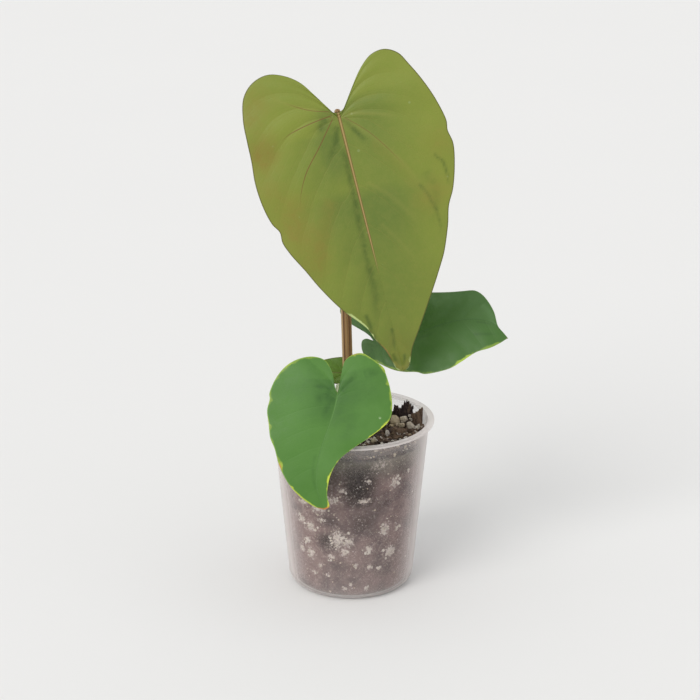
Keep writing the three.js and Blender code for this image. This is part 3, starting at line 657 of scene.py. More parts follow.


# Materials, with the colours of each part as a picture shows them


# The crease tint is painted shade along the folds; the flush tint is a bronze flush on the tall blade and
# painted sheen on the side and front blades
BLADE_TINTS = {
    "tall": {
        "shade": (98, 116, 46), "flush": (131, 117, 48), "pale": (148, 144, 72), "crease": (70, 90, 30),
        "vein": (136, 130, 60), "rib": (166, 140, 88), "rib_sides": (112, 76, 42), "line": (112, 74, 40),
        "edge": (84, 82, 34), "under": (150, 150, 96), "lime": (196, 212, 140), "rust": (160, 128, 76),
    },
    "side": {
        "shade": (52, 92, 34), "flush": (92, 128, 78), "pale": (84, 112, 60), "crease": (30, 58, 24),
        "vein": (70, 100, 50), "rib": (62, 102, 44), "rib_sides": (54, 92, 38), "line": (60, 60, 30),
        "edge": (92, 124, 62), "under": (104, 128, 80), "lime": (170, 196, 70), "rust": (168, 138, 92),
    },
    "front": {
        "shade": (60, 104, 36), "flush": (92, 136, 68), "pale": (100, 142, 70), "crease": (42, 84, 26),
        "vein": (96, 140, 68), "rib": (84, 128, 58), "rib_sides": (72, 114, 48), "line": (90, 100, 40),
        "edge": (118, 158, 66), "under": (126, 156, 100), "lime": (190, 204, 70), "rust": (196, 112, 54),
    },
    "small": {
        "shade": (62, 86, 28), "flush": (98, 122, 48), "pale": (112, 132, 58), "crease": (50, 66, 22),
        "vein": (104, 120, 54), "rib": (112, 120, 60), "rib_sides": (66, 84, 30), "line": (90, 90, 40),
        "edge": (80, 84, 36), "under": (126, 140, 84), "lime": (150, 160, 60), "rust": (150, 130, 70),
    },
}
STALK_TINTS = {
    "brown_stalk": {"light": (178, 152, 110), "dark": (92, 60, 38), "groove": (66, 42, 24)},
    "green_stalk": {"light": (186, 196, 152), "dark": (104, 110, 60), "groove": (92, 98, 54)},
}

# Stripes along each stalk, by their colour: (place round it, half width, strength)
STALK_STRIPES = {
    "brown_stalk": {
        "light": ((0.07, 0.075, 0.85), (0.24, 0.045, 0.35), (0.46, 0.06, 0.75)),
        "groove": ((0.165, 0.03, 0.8), (0.335, 0.028, 0.8)),
    },
    "green_stalk": {"light": ((0.2, 0.09, 0.7),), "groove": ((0.36, 0.03, 0.2),)},
}


def linear_tints(tints):
    return {part: srgb(*tint) for part, tint in tints.items()}


def blade_upper(name, base, relief):
    """Upper face of a blade: mottled green, painted shade in patches and creases, flush, painted sheen, veins
    and coloured margin.
    """
    leaf, tints = LEAVES[name], linear_tints(BLADE_TINTS[name])
    skin = Skin(f"{name}_blade_upper", base, leaf["gloss"])
    tree = skin.tree
    veins = use_group(tree, leaf_veins, {"Rib Width": leaf["rib_mm"], "Vein Width": leaf["vein_mm"]})
    broad = soft_patches(tree, 30.0, 0.32, 0.7)
    fine = soft_patches(tree, 240.0, 0.35, 0.72, 5.0)
    shaded = maths(tree, "MULTIPLY_ADD", broad, 0.22, attribute(tree, "shade"), clamp=True)
    skin.lay(shaded, tints["shade"])
    skin.lay(fine, tints["pale"], 0.1)
    # Flush: bronze on the tall blade, painted sheen on the side and front blades
    skin.lay(attribute(tree, "flush"), tints["flush"], step(tree, fine, 0.0, 1.0, 0.6, 0.85))
    # Painted shade: dark green laid along the creases, where the folds fall in shadow
    skin.lay(attribute(tree, "crease"), tints["crease"], step(tree, fine, 0.0, 1.0, 0.75, 0.4))
    skin.lay(attribute(tree, "pale"), tints["pale"], 0.8)
    for vein, share in (("Net", 0.4), ("Thin", 0.5), ("Veins", 1.0)):
        skin.lay(veins[vein], tints["vein"], leaf["vein_share"] * share)
    shown = step(tree, attribute(tree, "along"), *leaf["rib_fade"], 0.9, 0.0)
    skin.lay(veins["Rib Sides"], tints["rib_sides"], shown)
    skin.lay(veins["Rib"], tints["rib"], shown)
    stroke = step(tree, maths(tree, "ABSOLUTE", attribute(tree, "line_mm")), 0.06, 0.4, 1.0, 0.0)
    skin.lay(stroke, tints["line"], attribute(tree, "line"))
    margin = attribute(tree, "margin_mm")
    skin.lay(step(tree, margin, 0.25, 0.8, 0.85, 0.0), tints["edge"])
    reach = leaf["lime_mm"]
    torn = maths(tree, "MULTIPLY_ADD", noise(tree, place(tree), 150.0, 4.0), reach * 8.0, reach * -3.7)
    ragged = step(tree, maths(tree, "ADD", margin, torn), reach * 0.5, reach * 1.6, 1.0, 0.0)
    skin.lay(ragged, tints["lime"], attribute(tree, "lime"))
    skin.lay(step(tree, margin, 0.5, 1.3, 1.0, 0.0), tints["rust"], attribute(tree, "rust"))
    specks = step(tree, cells(tree, place(tree), 95.0), 0.05, 0.1, leaf["specks"], 0.0)
    skin.lay(specks, srgb(190, 210, 170), step(tree, noise(tree, place(tree), 55.0), 0.54, 0.6))
    grain = use_group(tree, skin_grain, {"Scale": 1400.0})["Height"]
    height = maths(tree, "MULTIPLY_ADD", grain, 0.12, veins["Height"])
    skin.bump(height, relief * leaf["relief"], 0.45)
    return skin.done(step(tree, fine, 0.0, 1.0, 0.44, 0.56))


def blade_under(name, relief):
    """Under face of a blade: paler, matt, with raised veins."""
    leaf, tints = LEAVES[name], linear_tints(BLADE_TINTS[name])
    skin = Skin(f"{name}_blade_under", tints["under"])
    tree = skin.tree
    widths = {"Rib Width": leaf["rib_mm"] * 1.5, "Vein Width": leaf["vein_mm"] * 1.3}
    veins = use_group(tree, leaf_veins, widths)
    broad = soft_patches(tree, 60.0)
    # Patches in the flush tint: bronze on the tall blade, the painted sheen colour on the side and front
    # blades
    skin.lay(broad, tints["flush"], 0.3)
    skin.lay(veins["Net"], tints["shade"], 0.3)
    skin.lay(veins["Thin"], tints["shade"], 0.25)
    skin.lay(veins["Veins"], tints["rib"], 0.55)
    skin.lay(veins["Rib"], tints["rib"])
    skin.bump(times(tree, veins["Height"], -1.0), relief, 0.7)
    return skin.done(step(tree, broad, 0.0, 1.0, 0.52, 0.66))


def stalk_skin(name, base):
    """Skin of a stalk: streaks along it, pale bands and dark lines, darker foot and pale knuckle."""
    tints = linear_tints(STALK_TINTS[name])
    skin = Skin(name, base, 0.35)
    tree = skin.tree
    fibres = use_group(tree, stalk_fibres)
    along = attribute(tree, "along")
    skin.lay(fibres["Streak"], tints["dark"], 0.4)
    for part, stripes in STALK_STRIPES[name].items():
        for where, width, strength in stripes:
            mask = use_group(tree, stalk_stripe, {"Place": where, "Width": width})["Mask"]
            skin.lay(mask, tints[part], strength)
    skin.lay(step(tree, along, 0.0, 0.1, 0.5, 0.0), tints["dark"])
    if name == "green_stalk":
        skin.lay(step(tree, along, 0.66, 0.86, 0.0, 0.92), srgb(190, 200, 160))
    skin.lay(soft_patches(tree, 700.0, 0.6, 0.72), tints["light"], 0.2)
    skin.bump(fibres["Height"], 0.0003, 0.6)
    return skin.done(step(tree, fibres["Streak"], 0.0, 1.0, 0.42, 0.56))


def crown_skin():
    """Corky crown: green-brown patches, streaked lengthwise."""
    skin = Skin("crown_skin", srgb(104, 98, 58))
    tree = skin.tree
    fibres = use_group(tree, stalk_fibres, {"Count": 14.0, "Stretch": 6.0})
    skin.lay(soft_patches(tree, 150.0), srgb(74, 58, 38))
    skin.lay(fibres["Streak"], srgb(150, 128, 88), 0.4)
    skin.bump(fibres["Height"], 0.0006, 0.8)
    return skin.done(0.75)


def root_skin():
    """Tan, slightly scaly root."""
    skin = Skin("root_skin", srgb(168, 142, 100))
    tree = skin.tree
    skin.lay(soft_patches(tree, 220.0), srgb(118, 90, 60))
    skin.bump(use_group(tree, skin_grain, {"Scale": 700.0})["Height"], 0.0003, 0.6)
    return skin.done(0.8)


def bark_skin(settings):
    """Bark: dark to mid brown by piece, with fissures, lighter ridges and pale dust."""
    skin = Skin("bark_skin", settings.bark_dark, 0.3)
    tree = skin.tree
    shrink = {"Vector": place(tree), "Scale": (1.0, 1.0, 0.35)}
    fissures = noise(tree, add_node(tree, "ShaderNodeMapping", shrink).outputs[0], 520.0, 5.0, 0.65)
    skin.lay(attribute(tree, "tone"), settings.bark_brown)
    skin.lay(step(tree, fissures, 0.52, 0.7, 0.0, 0.4), srgb(140, 116, 94))
    skin.lay(step(tree, fissures, 0.34, 0.5, 0.6, 0.0), srgb(26, 20, 18))
    skin.lay(soft_patches(tree, 900.0, 0.6, 0.75), srgb(156, 142, 120), 0.22)
    skin.bump(fissures, 0.0006, 0.9)
    return skin.done(step(tree, fissures, 0.3, 0.7, 0.95, 0.7))


def pumice_skin(settings):
    """Stones and crumbs: beige to white by piece, pitted, stained brown in the hollows."""
    skin = Skin("pumice_skin", settings.pumice, 0.3)
    tree = skin.tree
    grain = use_group(tree, skin_grain, {"Scale": 900.0, "Pits": 1.0})
    skin.lay(attribute(tree, "tone"), srgb(220, 211, 203))
    skin.lay(soft_patches(tree, 260.0, 0.45, 0.7), srgb(128, 112, 84), 0.35)
    skin.lay(step(tree, grain["Height"], 0.35, 0.75, 0.35, 0.0), srgb(120, 108, 88))
    skin.bump(grain["Height"], 0.0005, 0.8)
    return skin.done(0.9)


def fill_skin():
    """Fine mix against the wall: mauve brown clouds, painted shade of hollows, white crumbly patches and
    specks.
    """
    skin = Skin("fill_skin", srgb(100, 86, 85), 0.2)
    tree = skin.tree
    here = place(tree)
    cloud = soft_patches(tree, 190.0, 0.35, 0.68, 5.0)
    skin.lay(soft_patches(tree, 55.0, 0.35, 0.65), srgb(132, 111, 108))
    skin.lay(cloud, srgb(149, 130, 126), 0.45)
    skin.lay(soft_patches(tree, 620.0, 0.56, 0.7, 4.0), srgb(172, 159, 152), 0.2)
    height = add_node(tree, "ShaderNodeSeparateXYZ", {"Vector": here}).outputs["Z"]
    skin.lay(step(tree, height, 0.074, 0.094, 0.0, 0.65), srgb(112, 112, 96))
    # Painted shade: near black where hollows in the mix would lie in shadow
    skin.lay(attribute(tree, "hollow"), srgb(34, 29, 27))
    threads = maths(tree, "ABSOLUTE", maths(tree, "SUBTRACT", noise(tree, here, 150.0), 0.5))
    tangled = step(tree, noise(tree, here, 48.0), 0.5, 0.62, 0.0, 0.4)
    skin.lay(step(tree, threads, 0.003, 0.014, 1.0, 0.0), srgb(190, 178, 168), tangled)
    ragged = noise(tree, here, 620.0, 6.0, 0.75)
    crumbly = maths(tree, "MULTIPLY_ADD", attribute(tree, "dust"), 0.26, ragged)
    skin.lay(step(tree, crumbly, 0.5, 0.74, 0.0, 0.5), srgb(190, 176, 168))
    skin.lay(step(tree, crumbly, 0.64, 0.78, 0.0, 0.85), srgb(216, 206, 199))
    near_white = step(tree, cells(tree, here, 300.0), 0.1, 0.2, 0.6, 0.0)
    skin.lay(near_white, srgb(214, 206, 198), step(tree, noise(tree, here, 90.0), 0.5, 0.6))
    tiny = step(tree, cells(tree, here, 640.0), 0.12, 0.24, 0.55, 0.0)
    skin.lay(tiny, srgb(206, 194, 187), step(tree, noise(tree, here, 62.0), 0.44, 0.56))
    skin.bump(cloud, 0.0005, 0.6)
    return skin.done(0.95)


def frosted_plastic(settings):
    """Frosted see-through plastic, milkier towards the rim and where the wall is seen edge on."""
    skin = Skin("frosted_plastic", settings.tint, 0.35)
    tree = skin.tree
    cloud = soft_patches(tree, 26.0, 0.25, 0.75)
    grain = use_group(tree, skin_grain, {"Scale": 1600.0, "Pits": 0.3})
    milk = attribute(tree, "milk")
    skin.lay(cloud, srgb(196, 190, 190), 0.2)
    skin.lay(maths(tree, "MULTIPLY", milk, 1.3, clamp=True), srgb(241, 234, 231))
    facing = add_node(tree, "ShaderNodeLayerWeight", {"Blend": 0.5}).outputs["Facing"]
    rise = step(tree, facing, 0.34, 0.96, settings.veil, 0.62)
    clear = maths(tree, "SUBTRACT", 1.0, maths(tree, "MULTIPLY_ADD", cloud, 0.015, rise))
    clear = times(tree, clear, maths(tree, "SUBTRACT", 1.0, milk))
    skin.feed("Alpha", maths(tree, "SUBTRACT", 1.0, clear))
    skin.bump(grain["Height"], 0.0001, 0.25)
    return skin.done(step(tree, grain["Value"], 0.3, 0.7, 0.36, 0.48))


def floor_skin(colour):
    skin = Skin("floor_skin", colour)
    skin.lay(soft_patches(skin.tree, 3.0, 0.2, 0.8), (0.7, 0.7, 0.7), 0.06)
    return skin.done(0.9)


# Mesh helpers


def show(name, data):
    """Object for a mesh, light or camera, linked to the scene."""
    made = bpy.data.objects.new(name, data)
    bpy.context.collection.objects.link(made)
    return made


def around(reach, angle, z):
    """Point at a distance from the axis, an angle round it and a height."""
    return reach * math.cos(angle), reach * math.sin(angle), z


def add_piece(name, vertices, faces, materials, attributes=None, slots=None, crisp=None):
    """Object from millimetre points; rides on the body."""
    mesh = bpy.data.meshes.new(name)
    mesh.from_pydata((np.asarray(vertices) * MM).tolist(), [], faces)
    for material in materials:
        mesh.materials.append(material)
    if slots is not None:
        mesh.polygons.foreach_set("material_index", slots)
    for label, values in (attributes or {}).items():
        layer = mesh.attributes.new(label, "FLOAT", "POINT")
        layer.data.foreach_set("value", np.asarray(values, dtype=np.float32))
    mesh.polygons.foreach_set("use_smooth", [True] * len(mesh.polygons))
    if crisp is not None:
        mesh.set_sharp_from_angle(angle=math.radians(crisp))
    mesh.validate()
    mesh.update()
    piece = show(name, mesh)
    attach(piece, BODY)
    return piece


def smooth_path(points, count):
    """Evenly spaced points along a centripetal spline through the given ones."""
    given = np.asarray(points, dtype=float)
    padded = np.vstack([2 * given[0] - given[1], given, 2 * given[-1] - given[-2]])
    fine = []
    for i in range(len(given) - 1):
        before, start, end, after = padded[i : i + 4]
        steps = ((before, start), (start, end), (end, after))
        lead, span, trail = [max(math.sqrt(np.linalg.norm(b - a)), 1e-4) for a, b in steps]
        first = (start - before) / lead - (end - before) / (lead + span) + (end - start) / span
        last = (end - start) / span - (after - start) / (span + trail) + (after - end) / trail
        x = np.linspace(0, 1, 60, endpoint=i == len(given) - 2)[:, None]
        curve = (2 * x**3 - 3 * x**2 + 1) * start + (x**3 - 2 * x**2 + x) * first * span
        curve += (3 * x**2 - 2 * x**3) * end + (x**3 - x**2) * last * span
        fine.append(curve)
    fine = np.vstack(fine)
    reach = np.concatenate([[0], np.cumsum(np.linalg.norm(np.diff(fine, axis=0), axis=1))])
    wanted = np.linspace(0, reach[-1], count)
    return np.stack([np.interp(wanted, reach, fine[:, k]) for k in range(fine.shape[1])], axis=1)


def ring_faces(rows, sides):
    """Quads between rings of vertices that follow each other."""
    faces = []
    for i in range(rows - 1):
        for j in range(sides):
            a = i * sides + j
            b = i * sides + (j + 1) % sides
            faces.append((a, b, b + sides, a + sides))
    return faces


def lathe(profile, sides):
    """Turns [radius, height] pairs round Z; points on the axis become one vertex each."""
    turn = np.arange(sides) * math.tau / sides
    circle = np.stack([np.cos(turn), np.sin(turn)], axis=1)
    vertices, rings, faces = [], [], []
    for radius, height in profile:
        if radius < 1e-6:
            rings.append([len(vertices)])
            vertices.append((0.0, 0.0, height))
        else:
            rings.append(list(range(len(vertices), len(vertices) + sides)))
            vertices += [(radius * x, radius * y, height) for x, y in circle]
    for lower, upper in zip(rings, rings[1:]):
        for j in range(sides):
            k = (j + 1) % sides
            if len(lower) == 1:
                faces.append((lower[0], upper[k], upper[j]))
            elif len(upper) == 1:
                faces.append((lower[j], lower[k], upper[0]))
            else:
                faces.append((lower[j], lower[k], upper[k], upper[j]))
    return np.array(vertices), faces


def arc(cx, cz, radius, start, end, steps):
    angles = np.linspace(start, end, steps + 1)
    return [(cx + radius * math.cos(a), cz + radius * math.sin(a)) for a in angles]


def sweep(path, radius_at, sides, steps, section=None):
    """Tube along a smooth path with rounded ends; returns points, faces and the stalk's own coordinates."""
    centres = smooth_path(path, steps + 1)
    tangents = np.gradient(centres, axis=0)
    tangents /= np.linalg.norm(tangents, axis=1)[:, None]
    side = np.cross(tangents[0], (0.0, 1.0, 0.0))
    side /= np.linalg.norm(side)
    turn = np.arange(sides) * math.tau / sides
    shape = np.ones(sides) if section is None else section(turn)
    vertices, along = [], []

    def ring(centre, tangent, side, radius, t):
        other = np.cross(tangent, side)
        spokes = np.cos(turn)[:, None] * side + np.sin(turn)[:, None] * other
        vertices.append(centre + spokes * (radius * shape)[:, None])
        along.append(np.full(sides, t))

    for i, (centre, tangent) in enumerate(zip(centres, tangents)):
        side = side - tangent * np.dot(side, tangent)
        side /= np.linalg.norm(side)
        t = i / steps
        if i == 0:
            for angle in (1.45, 1.0, 0.5):
                drop = tangent * radius_at(0) * 0.6 * math.sin(angle)
                ring(centre - drop, tangent, side, radius_at(0) * math.cos(angle), 0)
        ring(centre, tangent, side, radius_at(t), t)
    for angle in (0.5, 1.0, 1.45):
        rise = tangents[-1] * radius_at(1) * 0.6 * math.sin(angle)
        ring(centres[-1] + rise, tangents[-1], side, radius_at(1) * math.cos(angle), 1)
    rows = len(vertices)
    faces = ring_faces(rows, sides)
    faces.append(tuple(range(sides))[::-1])
    faces.append(tuple(range((rows - 1) * sides, rows * sides)))
    attributes = {
        "turn_x": np.tile(np.cos(turn), rows),
        "turn_y": np.tile(np.sin(turn), rows),
        "along": np.concatenate(along),
    }
    return np.vstack(vertices), faces, attributes


def template(subdivisions=None, cuts=None):
    """Unit lump or unit slab that scattered pieces are shaped from."""
    shape = bmesh.new()
    if subdivisions is not None:
        bmesh.ops.create_icosphere(shape, subdivisions=subdivisions, radius=1.0)
    else:
        bmesh.ops.create_cube(shape, size=2.0)
        bmesh.ops.subdivide_edges(shape, edges=shape.edges[:], cuts=cuts, use_grid_fill=True)
    points = np.array([v.co[:] for v in shape.verts])
    faces = [tuple(v.index for v in f.verts) for f in shape.faces]
    shape.free()
    return points, faces


class Heap:
    """Gathers many small pieces into one mesh."""

    def __init__(self):
        self.points, self.faces, self.tones, self.count = [], [], [], 0

    def add(self, points, faces, tone):
        self.points.append(points)
        self.faces += [tuple(i + self.count for i in face) for face in faces]
        self.tones.append(np.full(len(points), tone))
        self.count += len(points)

    def piece(self, name, material, crisp):
        return add_piece(
            name, np.vstack(self.points), self.faces, [material],
            {"tone": np.concatenate(self.tones)}, crisp=crisp,
        )


def turned(points, turn, tilt, lean):
    matrix = np.array(Euler((tilt, lean, turn), "YXZ").to_matrix())
    return points @ matrix.T


# Blades


def unit(vector):
    return np.asarray(vector, dtype=float) / np.linalg.norm(vector)


def leaf_axes(leaf):
    along = unit(leaf["along"])
    face = np.asarray(leaf["face"], dtype=float)
    face = unit(face - along * np.dot(face, along))
    return along, face, np.cross(face, along)


def arc_step(u, turn, heading):
    end = heading + turn * u
    return (np.sin(end) - np.sin(heading)) / turn, (np.cos(end) - np.cos(heading)) / turn, end


def rib_place(leaf, u):
    """Sideways place of the midrib at u."""
    if "rib_course" not in leaf:
        return np.zeros_like(u)
    course = smooth_path(leaf["rib_course"], 60)
    return np.interp(u, course[:, 0], course[:, 1])


def blade_points(leaf, u, v, lift):
    """Middle surface of a blade, arched along the midrib, folded and domed across it, and lifted off it."""
    along, face, across = leaf_axes(leaf)
    turn = np.where(u < 0, leaf["lobe_bend"], leaf["bend"])
    first = arc_step(np.minimum(u, leaf["bend_from"]), turn, 0.0)
    second = arc_step(np.maximum(u - leaf["bend_from"], 0.0), leaf["tip_bend"], first[2])
    reach, drop, heading = first[0] + second[0], first[1] + second[1], second[2]
    crease = leaf["fold"] * (np.hypot(v - rib_place(leaf, u), leaf["fold_width"]) - leaf["fold_width"])
    dome = (1 - np.cos(leaf["cross"] * v)) / leaf["cross"]
    height = crease - dome + lift
    x = np.clip(u / leaf["length"], 0, 1)
    bow = leaf["bow"] * 6.75 * x * x * (1 - x)
    point = np.asarray(leaf["sinus"], dtype=float)
    point = point + np.multiply.outer(reach + height * np.sin(heading), along)
    point = point + np.multiply.outer(v + bow, across)
    return point + np.multiply.outer(drop + height * np.cos(heading), face)


def margin_strength(stretches, side, s):
    """How strongly the margin is coloured along one side."""
    total = np.zeros_like(s)
    for where, start, end, strength in stretches:
        if where == side:
            rise = np.clip((s - start) / 0.02, 0, 1) * np.clip((end - s) / 0.02, 0, 1)
            total = np.maximum(total, rise * strength)
    return total


def mark_course(course, u, v):
    """Signed distance of each point from a smooth course, and the nearest point's share of its length."""
    points = smooth_path(course, 4 * len(course) + 1)
    best = np.full(u.shape, 1e6)
    signed, share = best, np.zeros(u.shape)
    for k, (start, end) in enumerate(zip(points, points[1:])):
        run = end - start
        reach = ((u - start[0]) * run[0] + (v - start[1]) * run[1]) / np.dot(run, run)
        reach = np.clip(reach, 0, 1)
        du = u - start[0] - reach * run[0]
        dv = v - start[1] - reach * run[1]
        distance = np.hypot(du, dv)
        nearer = distance < best
        best = np.where(nearer, distance, best)
        signed = np.where(nearer, np.copysign(distance, run[0] * dv - run[1] * du), signed)
        share = np.where(nearer, (k + reach) / (len(points) - 1), share)
    return signed, share


def blade_marks(leaf, u, v):
    """Strength of the given marks at each point, and the distance from the nearest thin line."""
    marks = {kind: np.zeros_like(u) for kind in ("line", "pale", "crease", "shade", "flush")}
    line_mm = np.full(u.shape, 9.0)
    for kind, strength, width, course in leaf["marks"]:
        away, share = mark_course(course, u, v)
        fade = strength * np.clip(share / 0.05, 0, 1) * np.clip((1 - share) / 0.35, 0, 1)
        if kind == "line":
            nearer = np.abs(away) < np.abs(line_mm)
            line_mm = np.where(nearer, away, line_mm)
            marks["line"] = np.where(nearer, fade * np.clip(2.2 - np.abs(away), 0, 1), marks["line"])
        else:
            marks[kind] += fade * np.exp(-((away / width) ** 2))
    for spot_u, spot_v, radius, strength in leaf["spots"]:
        marks["flush"] += strength * np.exp(-((u - spot_u) ** 2 + (v - spot_v) ** 2) / radius**2)
    marks = {kind: np.clip(values, 0, 1) for kind, values in marks.items()}
    return {"line_mm": line_mm, **marks}


def blade_grid(leaf, side):
    """Half of a blade as a grid of (s, t) rows and columns with all that its shape and shading need."""
    rows, columns = leaf["rows"], leaf["columns"]
    edge = smooth_path(leaf[side], rows + 1)
    s = np.linspace(0, 1, rows + 1)[:, None]
    t = np.linspace(0, 1, columns + 1)[None, :]
    start = leaf["fan"] + (leaf["length"] - leaf["fan"]) * np.maximum(0, (s - LOBE_SHARE) / (1 - LOBE_SHARE))
    rib = rib_place(leaf, start)
    span = np.hypot(edge[:, :1] - start, edge[:, 1:] - rib)
    reach = t * (1 - MARGIN_INSET / (span + 4))
    u = start + (edge[:, :1] - start) * reach
    v = rib + (edge[:, 1:] - rib) * reach
    swept = leaf["sweep"] * np.minimum(1, (1 - s) / 0.3) * t**1.3
    row = leaf["fields"] * (s - swept)
    spacing = np.hypot(np.gradient(u, axis=0), np.gradient(v, axis=0)) * rows / leaf["fields"]
    quilt = leaf["quilt"] * np.abs(np.sin(math.pi * row)) * np.sin(math.pi * t)
    sign = 1 if side == "right" else -1
    ripple = leaf["wave"] * t * t * np.sin(math.tau * leaf["waves"] * s + sign) * np.sin(math.pi * s)
    full = np.ones_like(u)
    return {
        "u": u,
        "v": v,
        "t": t * full,
        "lift": quilt + ripple,
        "row": row * full,
        "field_mm": spacing,
        "margin_mm": span * (1 - t),
        "lime": margin_strength(leaf["lime"], side, s) * full,
        "rust": margin_strength(leaf["rust"], side, s) * full,
        **blade_marks(leaf, u, v),
    }


def blade_mesh(leaf):
    """Closed blade: both halves welded along the midrib, an upper and an under face, and a round margin."""
    halves = [blade_grid(leaf, side) for side in ("right", "left")]
    names = list(halves[0])
    flat = {name: np.concatenate([half[name].ravel() for half in halves]) for name in names}
    keys = np.round(np.stack([flat["u"], flat["v"]], axis=1), 5)
    _, first, weld = np.unique(keys, axis=0, return_index=True, return_inverse=True)
    weld = weld.ravel()
    data = {name: values[first] for name, values in flat.items()}
    u, v, t = data["u"], data["v"], data["t"]
    half = (BLADE_MIDDLE + (BLADE_EDGE - BLADE_MIDDLE) * t) / 2
    off_rib = v - rib_place(leaf, u)
    fading = 1 - np.clip(u / leaf["length"], 0, 1)
    rib_away = np.hypot(off_rib, np.minimum(u, 0))
    rib = leaf["rib"] * np.exp(-((rib_away / RIB_SPREAD) ** 2)) * fading
    groove = leaf["groove"] * np.exp(-((rib_away / GROOVE_SPREAD) ** 2)) * fading
    tuck = np.where(t > 0.9999, 0.25, 1.0)
    upper = blade_points(leaf, u, v, data["lift"] - groove + half * tuck)
    under = blade_points(leaf, u, v, data["lift"] - rib - half * tuck)
    count = len(u)
    rows, columns = leaf["rows"], leaf["columns"]
    faces, slots, margins = [], [], []
    for side in range(2):
        grid = weld[side * (rows + 1) * (columns + 1) :][: (rows + 1) * (columns + 1)]
        grid = grid.reshape(rows + 1, columns + 1)
        for i in range(rows):
            for j in range(columns):
                corners = [grid[i, j], grid[i, j + 1], grid[i + 1, j + 1], grid[i + 1, j]]
                if side == 0:
                    corners.reverse()
                loop = [c for k, c in enumerate(corners) if c != corners[k - 1]]
                if len(loop) < 3:
                    continue
                faces.append(tuple(loop))
                slots.append(0)
                faces.append(tuple(c + count for c in reversed(loop)))
                slots.append(1)
            a, b = grid[i, columns], grid[i + 1, columns]
            if a != b:
                margins.append((a, b) if side == 0 else (b, a))
    for a, b in margins:
        faces.append((a, b, b + count, a + count))
        slots.append(0)
    placing = ("u", "v", "t", "lift")
    attributes = {name: np.tile(values, 2) for name, values in data.items() if name not in placing}
    attributes["across"] = np.tile(t, 2)
    attributes["along"] = np.tile(np.clip(u / leaf["length"], 0, 1), 2)
    attributes["rib_mm"] = np.tile(rib_away, 2)
    return np.vstack([upper, under]), faces, attributes, slots


# Pot and mix


def wall_radius(settings, z):
    """Outer radius of the wall at a height, in millimetres."""
    base, top = settings.wall_base / MM, settings.wall_top / MM
    return base + (top - base) * z * MM / settings.height


def surface_height(x, y):
    """Rolling top of the mix, as in the CAD model."""
    swell = math.sin(x * 0.31) * math.cos(y * 0.27) + 0.6 * math.sin(x * 0.13 + y * 0.4)
    return MIX_TOP + SURFACE_WAVE * swell


def keep_in_pot(points, settings, clear):
    """Presses points that reach past the wall or the base back inside."""
    points = points.copy()
    points[:, 2] = np.maximum(points[:, 2], BASE_THICK + 0.5)
    corner = settings.corner / MM
    inside = settings.wall_thick / MM + clear
    for point in points:
        radius = math.hypot(point[0], point[1])
        limit = wall_radius(settings, min(point[2], settings.height / MM)) - inside
        if point[2] < corner:
            low = (corner - point[2]) / corner
            limit -= corner * (1 - math.sqrt(max(0.0, 1 - low * low)))
        if radius > limit:
            point[0] *= limit / radius
            point[1] *= limit / radius
    return points


class PLANT_OT_pot(bpy.types.Operator):
    """Build the frosted pot"""

    bl_idname = "plant.build_pot"
    bl_label = "Build Pot"

    def execute(self, context):
        pot = context.scene.plant_pot
        height, rim, wall = pot.height / MM, pot.rim_radius / MM, pot.wall_thick / MM
        corner, under = pot.corner / MM, (pot.height - pot.rim_thick) / MM
        corner_x = wall_radius(pot, corner) - corner
        lip, fillet, recess = 0.5, 0.8, 0.35
        inner_top = wall_radius(pot, height) - wall
        profile = [(0, recess), (corner_x * 0.9, recess), (corner_x * 0.93, 0.0), (corner_x, 0.0)]
        profile += arc(corner_x, corner, corner, -math.pi / 2, 0, 12)[1:]
        profile += [(wall_radius(pot, z), z) for z in np.linspace(14, under - 1.2, 10)]
        throat = wall_radius(pot, under) + fillet
        profile += arc(throat, under - fillet, fillet, math.pi, math.pi / 2, 4)
        profile += arc(rim - lip, under + lip, lip, -math.pi / 2, 0, 4)
        profile += arc(rim - lip, height - lip, lip, 0, math.pi / 2, 4)
        profile += arc(inner_top + lip, height - lip, lip, math.pi / 2, math.pi, 4)
        profile += [(wall_radius(pot, z) - wall, z) for z in np.linspace(under - 1, 12, 10)]
        profile += arc(corner_x, corner, corner - wall, 0, -math.pi / 2, 10)
        profile += [(0, BASE_THICK)]
        vertices, faces = lathe(profile, POT_SIDES)
        radius = np.hypot(vertices[:, 0], vertices[:, 1])
        on_rim = (vertices[:, 2] > under - 1) & (radius > wall_radius(pot, under) - wall - 0.1)
        heights = (0, 3, 8, 30, 70, 86, 95, 103)
        milk = np.interp(vertices[:, 2], heights, (0.42, 0.2, 0.05, 0.02, 0.0, 0.0, 0.05, 0.22))
        milk = np.where(on_rim, 0.42, milk)
        plastic, attributes = [frosted_plastic(pot)], {"milk": milk}
        piece = add_piece("frosted_pot", vertices, faces, plastic, attributes, crisp=POT_CRISP)
        self.drill(context, piece)
        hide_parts("pot")
        return {"FINISHED"}

    def drill(self, context, piece):
        """Cuts the ring of drain holes through the base."""
        cutter = bmesh.new()
        radius = DRAIN_RADIUS * MM
        for i in range(DRAIN_HOLES):
            angle = (i + 0.5) * math.tau / DRAIN_HOLES
            made = bmesh.ops.create_cone(
                cutter, cap_ends=True, segments=HOLE_SIDES, radius1=radius, radius2=radius, depth=0.01
            )
            bmesh.ops.translate(cutter, verts=made["verts"], vec=around(DRAIN_RING * MM, angle, 0.0))
        mesh = bpy.data.meshes.new("drain_holes")
        cutter.to_mesh(mesh)
        cutter.free()
        tool = show("drain_holes", mesh)
        modifier = piece.modifiers.new("drain", "BOOLEAN")
        modifier.operation = "DIFFERENCE"
        modifier.object = tool
        modifier.solver = "EXACT"
        cut = bpy.data.meshes.new_from_object(piece.evaluated_get(context.evaluated_depsgraph_get()))
        piece.modifiers.clear()
        piece.data = cut
        bpy.data.objects.remove(tool)
        bpy.data.meshes.remove(mesh)


